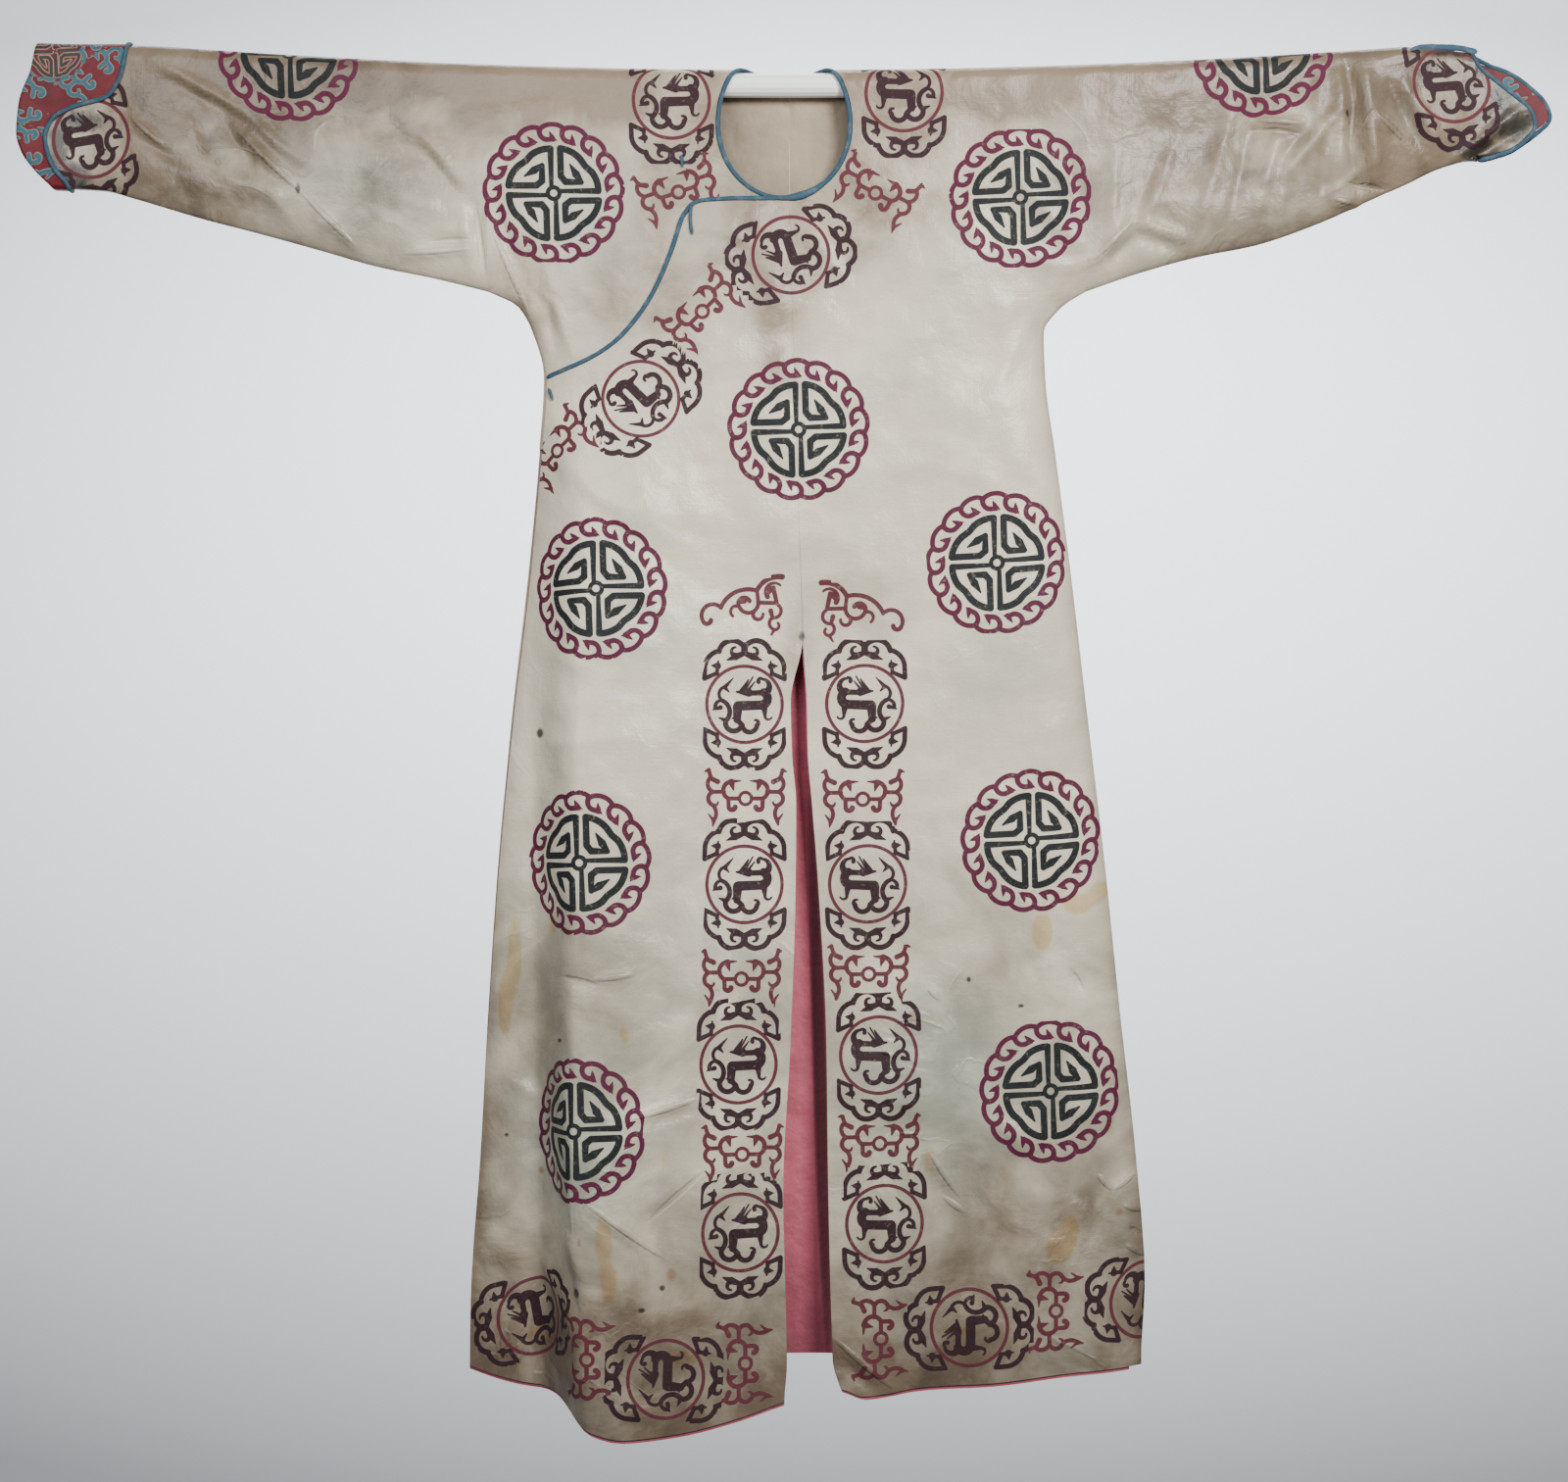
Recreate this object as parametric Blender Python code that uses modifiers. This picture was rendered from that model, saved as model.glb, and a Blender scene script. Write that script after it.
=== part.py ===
"""A long lined silk robe with horseshoe cuffs, hung flat on a rod that runs through both sleeves.

Metres, +Z up, front towards -Y. The origin is the middle of the rod. In tables and names, "drop" is the
height below the origin. Left and right are the wearer's, so the robe's left is at +X.
Each piece of cloth is a grid of rows and columns. A row has a level: 0 is where the cloth leaves the rod,
a positive level is a drop in metres, and a negative one is the angle up round the rod, in radians.
"""

import math

import bmesh
import bpy
import numpy as np

FRONT = -1
BACK = 1

# The rod, and the cloth's path over it
ROD_RADIUS = 0.013
ROD_HALF_LENGTH = 0.66
ROD_SAG = 0.057
ROD_END_SLOPE = {-1: 0.06, 1: -0.05}
WRAP_RADIUS = 0.0156
CUFF_WRAP_RADIUS = 0.010
CUFF_END_X = 0.80

# Walls and gaps
SILK = 0.0015
LINING = 0.001
SEAM_GAP = 0.0003
LINING_INSET = SILK / 2 + SEAM_GAP + LINING / 2
SKIRT_LINING_INSET = LINING_INSET + 0.0004
HEM_PEEK = 0.003
EDGE_PEEK = 0.0012
SIDE_INSET = 0.013
VENT_INSET = 0.002
SLEEVE_GAP = 0.0006

# Front and back meet at the sides and under the sleeves
EDGE_DEPTH = 0.001
VENT_DEPTH = 0.0035
VENT_DROPS = (0.60, 0.75)
CUFF_EDGE_DEPTH = 0.006
SLEEVE_END_X = 0.64
EDGE_SOFTNESS = 0.05

# Armhole and neck
ARMHOLE_X = 0.32
ARMHOLE_DROP = 0.22
NECK_X = -0.003
NECK_WIDEST_DROP = 0.045
NECK_HALF_WIDTH = 0.0705
NECK_LOWER_HEIGHT = 0.0784
NECK_UPPER_HEIGHT = 0.0887
BACK_CENTRE_X = 0.003

# Blue bindings
NECK_BINDING_RADIUS = 0.0022
NECK_BINDING_OUT = 0.0008
NECK_MARGIN = 0.003
BINDING_RADIUS = 0.0018
BINDING_CLEARANCE = 0.0005
TIE_RADIUS = 0.0016

# The overlap lies on the underlap
OVERLAP_LIFT = 0.0024
OVERLAP_LIFT_WIDTH = 0.018
OVERLAP_LIFT_END = (0.42, 0.60)
UNDERLAP_CENTRE_GAP = 0.022
UNDERLAP_END = 0.39

BACK_HEM = 1.362
BACK_HEM_SIDE_DROP = 0.007
YOKE_END = 0.40
BACK_LINING_TOP = 0.41

# Distance from the middle, drop of the sleeve's lower seam on the right and on the left
SLEEVE_SEAM = [
    (0.320, 0.220, 0.220),
    (0.375, 0.2065, 0.201),
    (0.440, 0.193, 0.183),
    (0.500, 0.176, 0.171),
    (0.565, 0.158, 0.149),
    (0.630, 0.141, 0.120),
    (0.660, 0.132, 0.107),
    (0.700, 0.120, 0.088),
    (0.730, 0.112, 0.080),
    (0.760, 0.110, 0.079),
    (0.830, 0.107, 0.079),
]

# Drop, distance of the side seam from the middle on the right and on the left
SIDE_SEAM = [
    (0.220, 0.320, 0.320),
    (0.236, 0.287, 0.295),
    (0.265, 0.271, 0.2745),
    (0.312, 0.2594, 0.276),
    (0.400, 0.2652, 0.2875),
    (0.520, 0.2763, 0.303),
    (0.680, 0.2945, 0.3215),
    (0.840, 0.3095, 0.340),
    (1.000, 0.320, 0.356),
    (1.160, 0.3285, 0.373),
    (1.300, 0.338, 0.3825),
    (1.370, 0.339, 0.379),
]

# Drop, x of the overlap's edge, x of the left front's edge: a seam down to the slit, then the slit's sides
CENTRE = [
    (0.123, 0.002, 0.002),
    (0.360, 0.0095, 0.0095),
    (0.578, 0.0163, 0.0163),
    (0.593, 0.0168, 0.0168),
    (0.660, 0.0042, 0.0213),
    (0.715, 0.0056, 0.0225),
    (0.770, 0.0100, 0.0270),
    (0.856, 0.0094, 0.0336),
    (1.017, 0.0042, 0.0420),
    (1.178, -0.0037, 0.0441),
    (1.360, 0.0000, 0.0494),
    (1.395, -0.0026, 0.0600),
]

# x, drop of the overlap's hem
OVERLAP_HEM = [
    (-0.339, 1.370),
    (-0.285, 1.384),
    (-0.245, 1.391),
    (-0.205, 1.424),
    (-0.170, 1.433),
    (-0.110, 1.429),
    (-0.050, 1.417),
    (0.000, 1.400),
]

# x, drop of the left front's hem
LEFT_HEM = [
    (0.060, 1.390),
    (0.083, 1.398),
    (0.137, 1.391),
    (0.206, 1.386),
    (0.300, 1.376),
    (0.379, 1.369),
]

# x, drop along the overlap's top edge, from the centre seam to the right side
OVERLAP_EDGE = [
    (0.002, 0.1265),
    (-0.045, 0.1265),
    (-0.092, 0.1290),
    (-0.107, 0.1420),
    (-0.120, 0.1790),
    (-0.144, 0.2320),
    (-0.180, 0.2770),
    (-0.212, 0.2980),
    (-0.256, 0.3160),
]

# The right front skirt swells forward: drop, x of its foot, x of its crest, depth there, depth at the slit
SWELL = [
    (0.32, -0.262, -0.200, 0.000, 0.000),
    (0.54, -0.277, -0.212, 0.030, 0.003),
    (0.83, -0.274, -0.219, 0.048, 0.010),
    (1.11, -0.268, -0.223, 0.064, 0.020),
    (1.43, -0.262, -0.205, 0.066, 0.027),
]

# Soft waves: side, x at the hem, drop where it begins, depth at the hem, half width
WAVES = [
    (FRONT, 0.070, 0.62, 0.014, 0.060),
    (FRONT, 0.230, 0.80, 0.009, 0.050),
    (BACK, -0.210, 0.60, 0.014, 0.080),
    (BACK, 0.030, 0.75, 0.010, 0.070),
    (BACK, 0.240, 0.65, 0.015, 0.080),
]

# Fraction of the height, x of the fold of the right cuff's end, width that is turned back
TURNED_CUFF = [
    (0.00, -0.800, 0.094),
    (0.20, -0.806, 0.093),
    (0.33, -0.814, 0.090),
    (0.42, -0.818, 0.056),
    (0.52, -0.820, 0.034),
    (0.64, -0.821, 0.027),
    (0.76, -0.816, 0.024),
    (0.88, -0.803, 0.018),
    (1.00, -0.784, 0.015),
]

# Fraction of the height, x of the left cuff's end in front and at the back
OPEN_CUFF = [
    (0.00, 0.730, 0.730),
    (0.12, 0.738, 0.775),
    (0.28, 0.760, 0.800),
    (0.42, 0.780, 0.814),
    (0.55, 0.794, 0.818),
    (0.68, 0.797, 0.806),
    (0.80, 0.788, 0.790),
    (0.90, 0.774, 0.774),
    (1.00, 0.740, 0.740),
]
FACING_TUCKS = (0.009, 0.003)
FACING_FOLD_ANGLES = (-60, -20, 20, 60)
FACING_SHARES = (0.1, 0.4, 0.7, 1.0)
RIGHT_CUFF_X = -0.698
LEFT_CUFF_X = 0.655
LEFT_FACING_X = 0.71

# Each tie: height of the cloth that it lies on above the underlap, then x, drop of its points
TIES = {
    "tie_neck": (OVERLAP_LIFT, [(-0.0985, 0.138), (-0.1000, 0.149), (-0.0990, 0.163)]),
    "tie_shoulder": (0.0, [(-0.1120, 0.078), (-0.1115, 0.091)]),
    "tie_side": (OVERLAP_LIFT, [(-0.2545, 0.325), (-0.2500, 0.338)]),
}

# Rows and columns
ROD_STEPS = 24
WRAP_STEPS = 4
NECK_STEPS = 4
SHOULDER_LEVELS = [0.0, NECK_WIDEST_DROP]
ARM_LEVELS = [0.155, 0.185, 0.207, ARMHOLE_DROP]
UNDERARM_LEVELS = [0.236, 0.265, 0.312]
SKIRT_LEVELS = [0.39, 0.50, 0.60, 0.68, 0.77, 0.87, 0.97, 1.07, 1.17, 1.27, 1.335, 1.39]
BODY_COLUMNS = [0.0, 0.17, 0.34, 0.51, 0.68, 0.82, 0.92, 1.0]
OVERLAP_TOP_COLUMNS = [0.0, 0.06, 0.12, 0.20, 0.28, 0.37, 0.46, 0.56, 0.66, 0.76, 0.84, 0.90, 0.95, 1.0]
OVERLAP_HEM_COLUMNS = [0.0, 0.10, 0.21, 0.33, 0.45, 0.56, 0.64, 0.69, 0.73, 0.77, 0.81, 0.87, 0.94, 1.0]
OVERLAP_ROWS = [0.0, 0.04, 0.09, 0.15, 0.22, 0.29, 0.37, 0.45, 0.53, 0.61, 0.69, 0.77, 0.85, 0.93, 1.0]
OVERLAP_LINING_ROW = 6
OVERLAP_BINDING_START = 2
SLEEVE_COLUMNS = [0.0, 0.06, 0.16, 0.28, 0.40, 0.52, 0.64, 0.76, 0.88, 1.0]
CUFF_COLUMNS = [0.0, 0.25, 0.5, 0.75, 1.0]

# Colour, roughness and metallic value of each material
MATERIALS = {
    "silk": ((0.55, 0.51, 0.44), 0.45, 0.0),
    "satin_red": ((0.33, 0.03, 0.05), 0.45, 0.0),
    "lining_pink": ((0.60, 0.14, 0.20), 0.6, 0.0),
    "lining_tan": ((0.47, 0.38, 0.27), 0.7, 0.0),
    "binding_blue": ((0.07, 0.19, 0.31), 0.6, 0.0),
    "rod_white": ((0.85, 0.85, 0.85), 0.35, 0.0),
}


def soft(t):
    """0 to 1 with level ends."""
    t = np.clip(t, 0.0, 1.0)
    return t * t * (3 - 2 * t)


def follow(table, column, at):
    """A smooth curve through one column of a table, against its first column, held level past its ends."""
    rows = np.array(table, float)
    order = np.argsort(rows[:, 0])
    known = rows[order, 0]
    value = rows[order, column]
    chords = np.diff(value) / np.diff(known)
    product = chords[1:] * chords[:-1]
    total = np.where(product > 0, chords[1:] + chords[:-1], 1.0)
    between = np.where(product > 0, 2 * product / total, 0.0)
    slope = np.concatenate([chords[:1], between, chords[-1:]])
    at = np.clip(at, known[0], known[-1])
    cell = np.clip(np.searchsorted(known, at) - 1, 0, len(known) - 2)
    width = known[cell + 1] - known[cell]
    t = (at - known[cell]) / width
    start = (1 + 2 * t) * (1 - t) ** 2 * value[cell] + t * (1 - t) ** 2 * width * slope[cell]
    end = t * t * (3 - 2 * t) * value[cell + 1] + t * t * (t - 1) * width * slope[cell + 1]
    return start + end


def by_hand(table, x, at):
    return np.where(np.asarray(x) < 0, follow(table, 1, at), follow(table, 2, at))


def rod_height(x):
    """Height of the rod's middle line, and of the cloth's fold past the rod's ends."""
    reach = np.abs(x)
    on_rod = ROD_SAG * np.minimum(reach, ROD_HALF_LENGTH) ** 2
    slope = np.where(np.asarray(x) < 0, ROD_END_SLOPE[-1], ROD_END_SLOPE[1])
    return on_rod + slope * np.maximum(reach - ROD_HALF_LENGTH, 0.0)


def wrap_radius(x):
    past = (np.abs(x) - ROD_HALF_LENGTH) / (CUFF_END_X - ROD_HALF_LENGTH)
    return WRAP_RADIUS + (CUFF_WRAP_RADIUS - WRAP_RADIUS) * soft(past)


def outline(side):
    """The garment's lower outline on one side, from the cuff in to the armhole and down to the hem."""
    column = 1 if side < 0 else 2
    sleeve = [(side * row[0], row[column]) for row in reversed(SLEEVE_SEAM)]
    body = [(side * row[column], row[0]) for row in SIDE_SEAM[1:]]
    return np.array(sleeve + body)


def edge_distance(x, drop):
    """Distance in the front view from a point to the side seam or the sleeve's lower seam."""
    nearest = np.full(np.broadcast(x, drop).shape, 1.0)
    for side in (-1, 1):
        corners = outline(side)
        for (ax, ad), (bx, bd) in zip(corners[:-1], corners[1:]):
            length2 = (bx - ax) ** 2 + (bd - ad) ** 2
            t = np.clip(((x - ax) * (bx - ax) + (drop - ad) * (bd - ad)) / length2, 0.0, 1.0)
            gap = np.hypot(x - ax - t * (bx - ax), drop - ad - t * (bd - ad))
            nearest = np.minimum(nearest, gap)
    return nearest


def edge_depth(x, drop):
    """Half the distance between front and back at the seams: more at the right side's vent and the cuffs."""
    low, high = VENT_DROPS
    vent = soft((drop - low) / (high - low)) * (np.asarray(x) < 0)
    cuff = soft((np.abs(x) - SLEEVE_END_X) / (CUFF_END_X - SLEEVE_END_X))
    return EDGE_DEPTH + (VENT_DEPTH - EDGE_DEPTH) * vent + (CUFF_EDGE_DEPTH - EDGE_DEPTH) * cuff


def swell(x, drop):
    """How far the right front skirt swells forward."""
    foot = follow(SWELL, 1, drop)
    crest = follow(SWELL, 2, drop)
    crest_depth = follow(SWELL, 3, drop)
    slit_depth = follow(SWELL, 4, drop)
    slit = follow(CENTRE, 1, drop)
    rise = crest_depth * soft((x - foot) / (crest - foot))
    fall = (crest_depth - slit_depth) * soft((x - crest) / (slit - crest))
    return np.where(drop > SWELL[0][0], rise - fall, 0.0)


def waves(x, drop, face):
    depth = np.zeros(np.broadcast(x, drop).shape)
    for side, wave_x, begins, height, half_width in WAVES:
        if side == face:
            grown = np.clip((drop - begins) / (BACK_HEM - begins), 0.0, 1.1)
            depth = depth + height * grown * np.exp(-(((x - wave_x) / half_width) ** 2))
    return depth


def depth(x, drop, face):
    """Distance of the cloth's middle surface from the plane of the rod, where it hangs."""
    radius = wrap_radius(x)
    inward = 1 - np.clip(edge_distance(x, drop) / EDGE_SOFTNESS, 0.0, 1.0)
    edge = edge_depth(x, drop)
    return edge + (radius - edge + waves(x, drop, face)) * (1 - inward**2)


def hang(x, level, face, lower=None):
    """Points of the cloth at x and level. Above the armhole, lower is the drop of its lower seam there."""
    x, level = np.broadcast_arrays(np.asarray(x, float), np.asarray(level, float))
    centre = rod_height(x)
    lower = ARMHOLE_DROP if lower is None else lower
    fraction = np.clip(level / ARMHOLE_DROP, 0.0, 1.0)
    drop = np.where(level <= ARMHOLE_DROP, lower * fraction - centre * (1 - fraction), level)
    radius = wrap_radius(x)
    angle = np.minimum(level, 0.0)
    y = np.where(level < 0, radius * np.cos(angle), depth(x, drop, face))
    z = np.where(level < 0, centre - radius * np.sin(angle), -drop)
    return np.stack([x, face * y, z], axis=-1)


def hang_sleeve(x, level, face):
    return hang(x, level, face, by_hand(SLEEVE_SEAM, x, np.abs(x)))


def neck_levels():
    """Rows from the neck's widest point to its lowest, closer together as the edge turns in."""
    height = NECK_LOWER_HEIGHT + NECK_MARGIN
    turns = [math.sin(math.radians(90 * k / NECK_STEPS)) for k in range(1, NECK_STEPS + 1)]
    return [NECK_WIDEST_DROP + height * turn for turn in turns]


def wrap_levels():
    return [-math.pi / 2 * k / WRAP_STEPS for k in range(WRAP_STEPS, 0, -1)]


def top_levels():
    """From the fold on top of the rod down to the armhole's lowest point."""
    return wrap_levels() + SHOULDER_LEVELS + neck_levels() + ARM_LEVELS


def travel(level, face):
    """Length along the cloth from where it leaves the rod in front: down is positive, over the rod negative."""
    down = np.where(np.asarray(level) < 0, np.asarray(level) * WRAP_RADIUS, level)
    return down if face == FRONT else -math.pi * WRAP_RADIUS - down


def at_travel(x, along):
    """The point of the cloth at x, that far along it."""
    face = FRONT if along > -math.pi / 2 * WRAP_RADIUS else BACK
    down = along if face == FRONT else -math.pi * WRAP_RADIUS - along
    return hang(x, down if down > 0 else down / WRAP_RADIUS, face)


def neck_turn(along):
    """Angle round the neck opening of the cloth's edge that far along: 90 degrees at its lowest point."""
    below = np.asarray(along) - NECK_WIDEST_DROP
    height = np.where(below > 0, NECK_LOWER_HEIGHT, NECK_UPPER_HEIGHT) + NECK_MARGIN
    return np.arcsin(np.clip(below / height, -1.0, 1.0))


def inner_edge(levels, side, face):
    """x of a body piece's edge at the neck and the centre, one value for each row."""
    levels = np.asarray(levels, float)
    if face == FRONT:
        centre = follow(CENTRE, 2 if side > 0 else 1, levels)
    else:
        centre = np.full(len(levels), BACK_CENTRE_X)
    opening = (NECK_HALF_WIDTH + NECK_MARGIN) * np.cos(neck_turn(travel(levels, face)))
    edge = np.where(opening > SEAM_GAP, NECK_X + side * opening, centre)
    limit = centre + side * SEAM_GAP / 2
    if face == FRONT and side < 0:
        limit = centre - UNDERLAP_CENTRE_GAP
    return np.maximum(edge, limit) if side > 0 else np.minimum(edge, limit)


def outer_edge(levels, side):
    seam = side * follow(SIDE_SEAM, 1 if side < 0 else 2, levels)
    return np.where(np.asarray(levels) < ARMHOLE_DROP, side * ARMHOLE_X, seam)


def hem_drop(x, side, face):
    if face == FRONT and side > 0:
        return follow(LEFT_HEM, 1, x)
    return BACK_HEM + BACK_HEM_SIDE_DROP * (x / SIDE_SEAM[-1][2]) ** 2


def body_rows(levels, side, face, to_hem=True):
    """Rows of points of a body piece from the fold on top of the rod downwards."""
    levels = np.asarray(levels, float)
    inner = inner_edge(levels, side, face)[:, None]
    outer = outer_edge(levels, side)[:, None]
    x = inner + (outer - inner) * np.array(BODY_COLUMNS)
    level = np.repeat(levels[:, None], len(BODY_COLUMNS), axis=1)
    if to_hem:
        last = levels[-1]
        below = np.clip((level - ARMHOLE_DROP) / (last - ARMHOLE_DROP), 0.0, 1.0)
        level = level + below**2 * (hem_drop(x, side, face) - last)
    return hang(x, level, face)


def over_the_rod(front, back):
    """One grid from the front's last row up over the rod to the back's last row."""
    return np.concatenate([front[::-1], back[1:]])


def overlap_side(drop):
    return -follow(SIDE_SEAM, 1, np.maximum(drop, SIDE_SEAM[3][0]))


def along_path(points, fractions):
    """Points at fractions of the length of a smooth line through a table's points."""
    points = np.array(points, float)
    station = np.arange(len(points), dtype=float)
    fine = np.linspace(0, len(points) - 1, 200)
    line = np.stack([follow(np.column_stack([station, points[:, k]]), 1, fine) for k in (0, 1)], axis=1)
    length = np.concatenate([[0], np.cumsum(np.hypot(*np.diff(line, axis=0).T))])
    where = np.asarray(fractions) * length[-1]
    return np.stack([np.interp(where, length, line[:, k]) for k in (0, 1)], axis=1)


def overlap_lift(x, drop):
    """The overlap's height above the surface that the underlap takes."""
    from_centre = follow(CENTRE, 1, drop) - x
    start, end = OVERLAP_LIFT_END
    return OVERLAP_LIFT * soft(from_centre / OVERLAP_LIFT_WIDTH) * (1 - soft((drop - start) / (end - start)))


def overlap_grid():
    """The overlap: columns from the centre to the right side, rows from its bound edge to the hem."""
    top = along_path(OVERLAP_EDGE, OVERLAP_TOP_COLUMNS)
    top_drop = top[:, 1]
    centre = follow(CENTRE, 1, top_drop)
    top_share = (centre - top[:, 0]) / (centre - overlap_side(top_drop))
    hem_share = np.array(OVERLAP_HEM_COLUMNS)
    rows = []
    for v in OVERLAP_ROWS:
        share = top_share + (hem_share - top_share) * soft(v)
        hem_x = hem_share * overlap_side(SIDE_SEAM[-1][0])
        drop = top_drop + (follow(OVERLAP_HEM, 1, hem_x) - top_drop) * v
        centre = follow(CENTRE, 1, drop) - SEAM_GAP / 2
        x = centre + (overlap_side(drop) - centre) * share
        points = hang(x, drop, FRONT)
        points[:, 1] -= overlap_lift(x, drop) + swell(x, drop)
        rows.append(points)
    return np.array(rows)


def normals(grid):
    """Unit directions out of the garment at a grid's points."""
    down = np.gradient(grid, axis=0)
    across = np.gradient(grid, axis=1)
    out = np.cross(down, across)
    out /= np.linalg.norm(out, axis=-1, keepdims=True)
    return out * np.sign(np.sum(out[..., 1] * grid[..., 1]))


def shifted(grid, distance):
    return grid + normals(grid) * distance


def material(name):
    made = bpy.data.materials.get(name) or bpy.data.materials.new(name)
    made.use_nodes = True
    shader = made.node_tree.nodes["Principled BSDF"]
    colour, roughness, metallic = MATERIALS[name]
    shader.inputs["Base Color"].default_value = (*colour, 1.0)
    shader.inputs["Roughness"].default_value = roughness
    shader.inputs["Metallic"].default_value = metallic
    made.diffuse_color = (*colour, 1.0)
    return made


def add_object(name, data, material_name, robe):
    piece = bpy.data.objects.new(name, data)
    data.materials.append(material(material_name))
    robe.objects.link(piece)
    return piece


def split_outward(face):
    """Cuts a square from its upper, inner corner, the same way on a piece and on its lining."""
    corners = sorted(face.verts, key=lambda vertex: abs(vertex.co.x) - vertex.co.z)
    inner, outer = corners[0], corners[-1]
    if not any(outer in edge.verts for edge in inner.link_edges):
        bmesh.utils.face_split(face, inner, outer)


def cloth(robe, name, grid, wall, material_name, sewn=None):
    """A wall of cloth over a grid. sewn is a pair of paths of (row, column) along edges to be joined."""
    rows, columns = grid.shape[:2]
    mesh = bmesh.new()
    bmesh.ops.create_grid(mesh, x_segments=columns - 1, y_segments=rows - 1, size=1.0)
    placed = {}
    for vertex in mesh.verts:
        column = round((vertex.co.x + 1) / 2 * (columns - 1))
        row = round((vertex.co.y + 1) / 2 * (rows - 1))
        placed[row, column] = vertex
    for (row, column), vertex in placed.items():
        vertex.co = grid[row, column]
    for face in list(mesh.faces):
        split_outward(face)
    if sewn:
        paths = [[placed[key] for key in path] for path in sewn]
        edges = [mesh.edges.get(pair) for path in paths for pair in zip(path[:-1], path[1:])]
        bmesh.ops.bridge_loops(mesh, edges=edges)
    bmesh.ops.recalc_face_normals(mesh, faces=mesh.faces)
    data = bpy.data.meshes.new(name)
    mesh.to_mesh(data)
    mesh.free()
    data.shade_smooth()
    piece = add_object(name, data, material_name, robe)
    solidify = piece.modifiers.new("Wall", "SOLIDIFY")
    solidify.thickness = wall
    solidify.offset = 0.0
    solidify.use_even_offset = True
    return piece


def tube(robe, name, points, radius, material_name, closed=False, resolution=2):
    """A round cord, binding or rod along its points."""
    data = bpy.data.curves.new(name, "CURVE")
    data.dimensions = "3D"
    data.bevel_depth = radius
    data.bevel_resolution = resolution
    data.use_fill_caps = True
    spline = data.splines.new("POLY")
    spline.points.add(len(points) - 1)
    for point, place in zip(spline.points, points):
        point.co = (*place, 1.0)
    spline.use_cyclic_u = closed
    return add_object(name, data, material_name, robe)


def grid_path(rows, column):
    return [(row, column) for row in rows]


def make_body(robe):
    """Both body lengths over the shoulder, and the linings cut from the same rows."""
    skirt = UNDERARM_LEVELS + SKIRT_LEVELS
    levels = top_levels() + skirt
    under = [level for level in levels if level <= UNDERLAP_END]
    last = len(BODY_COLUMNS) - 1
    armhole = len(top_levels()) - 1

    front = body_rows(levels, 1, FRONT)
    back = body_rows(levels, 1, BACK)
    whole = over_the_rod(front, back)
    turn = len(front) - 1
    front_side = grid_path(range(0, turn - armhole + 1), last)
    back_side = grid_path(range(len(whole) - 1, turn + armhole - 1, -1), last)
    cloth(robe, "body_left", whole, SILK, "silk", (front_side, back_side))

    underlap = body_rows(under, -1, FRONT, to_hem=False)
    back_right = body_rows(levels, -1, BACK)
    whole = over_the_rod(underlap, back_right)
    turn = len(underlap) - 1
    front_side = grid_path(range(0, turn - armhole + 1), last)
    back_side = grid_path(range(2 * turn, turn + armhole - 1, -1), last)
    cloth(robe, "body_right", whole, SILK, "silk", (front_side, back_side))

    yoke = [row for row, level in enumerate(levels) if level <= YOKE_END]
    wrap = len(wrap_levels()) + 1
    for name, side, sheet in (("lining_yoke_left", 1, back), ("lining_yoke_right", -1, back_right)):
        over = body_rows(levels[:wrap], side, FRONT, to_hem=False)
        strip = over_the_rod(over, sheet[yoke])
        cloth(robe, name, shifted(strip, -LINING_INSET)[:, :-1], LINING, "lining_tan")

    lower = [row for row, level in enumerate(levels) if level > BACK_LINING_TOP]
    wide = np.concatenate([back_right[:, ::-1], back[:, 1:]], axis=1)
    lining = shifted(wide, -SKIRT_LINING_INSET)[lower]
    lining = pull_edge(lining, 1, -1, -SIDE_INSET)
    lining = pull_edge(lining, 1, 0, -VENT_INSET)
    cloth(robe, "lining_back", lining, LINING, "lining_pink")

    lower = [row for row, level in enumerate(levels) if level > VENT_DROPS[0]]
    lining = shifted(front, -SKIRT_LINING_INSET)[lower]
    lining = pull_edge(lining, 0, -1, HEM_PEEK)
    lining = pull_edge(lining, 1, 0, EDGE_PEEK)
    lining = pull_edge(lining, 1, -1, -SIDE_INSET)
    cloth(robe, "lining_front_left", lining, LINING, "lining_pink")


def pull_edge(grid, axis, edge, distance):
    """Moves an edge row (axis 0) or column (axis 1) of a grid outwards along the cloth, or in if negative."""
    grid = np.swapaxes(grid.copy(), 0, axis)
    inside = 1 if edge == 0 else -2
    way = grid[edge] - grid[inside]
    grid[edge] += way / np.linalg.norm(way, axis=-1, keepdims=True) * distance
    return np.swapaxes(grid, 0, axis)


def make_overlap(robe):
    grid = overlap_grid()
    cloth(robe, "front_overlap", grid, SILK, "silk")
    lining = shifted(grid, -SKIRT_LINING_INSET)[OVERLAP_LINING_ROW:]
    lining = pull_edge(lining, 0, -1, HEM_PEEK)
    lining = pull_edge(lining, 1, -1, EDGE_PEEK)
    cloth(robe, "lining_front_right", lining, LINING, "lining_pink")


def ring_levels():
    """Rows round a sleeve: up the front from the lower seam, over the fold, down the back."""
    down = top_levels()
    return down[::-1] + down[1:], [FRONT] * len(down) + [BACK] * (len(down) - 1)


def sleeve_grid(starts, ends, columns, push=0.0):
    """A tube of sleeve between an x for each row and another, its columns at fractions between them."""
    levels, faces = ring_levels()
    rows = []
    for level, face, start, end in zip(levels, faces, starts, ends):
        x = start + (end - start) * np.array(columns)
        rows.append(hang_sleeve(x, level, face))
    grid = np.array(rows)
    return grid + ring_normals(grid) * push


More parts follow.
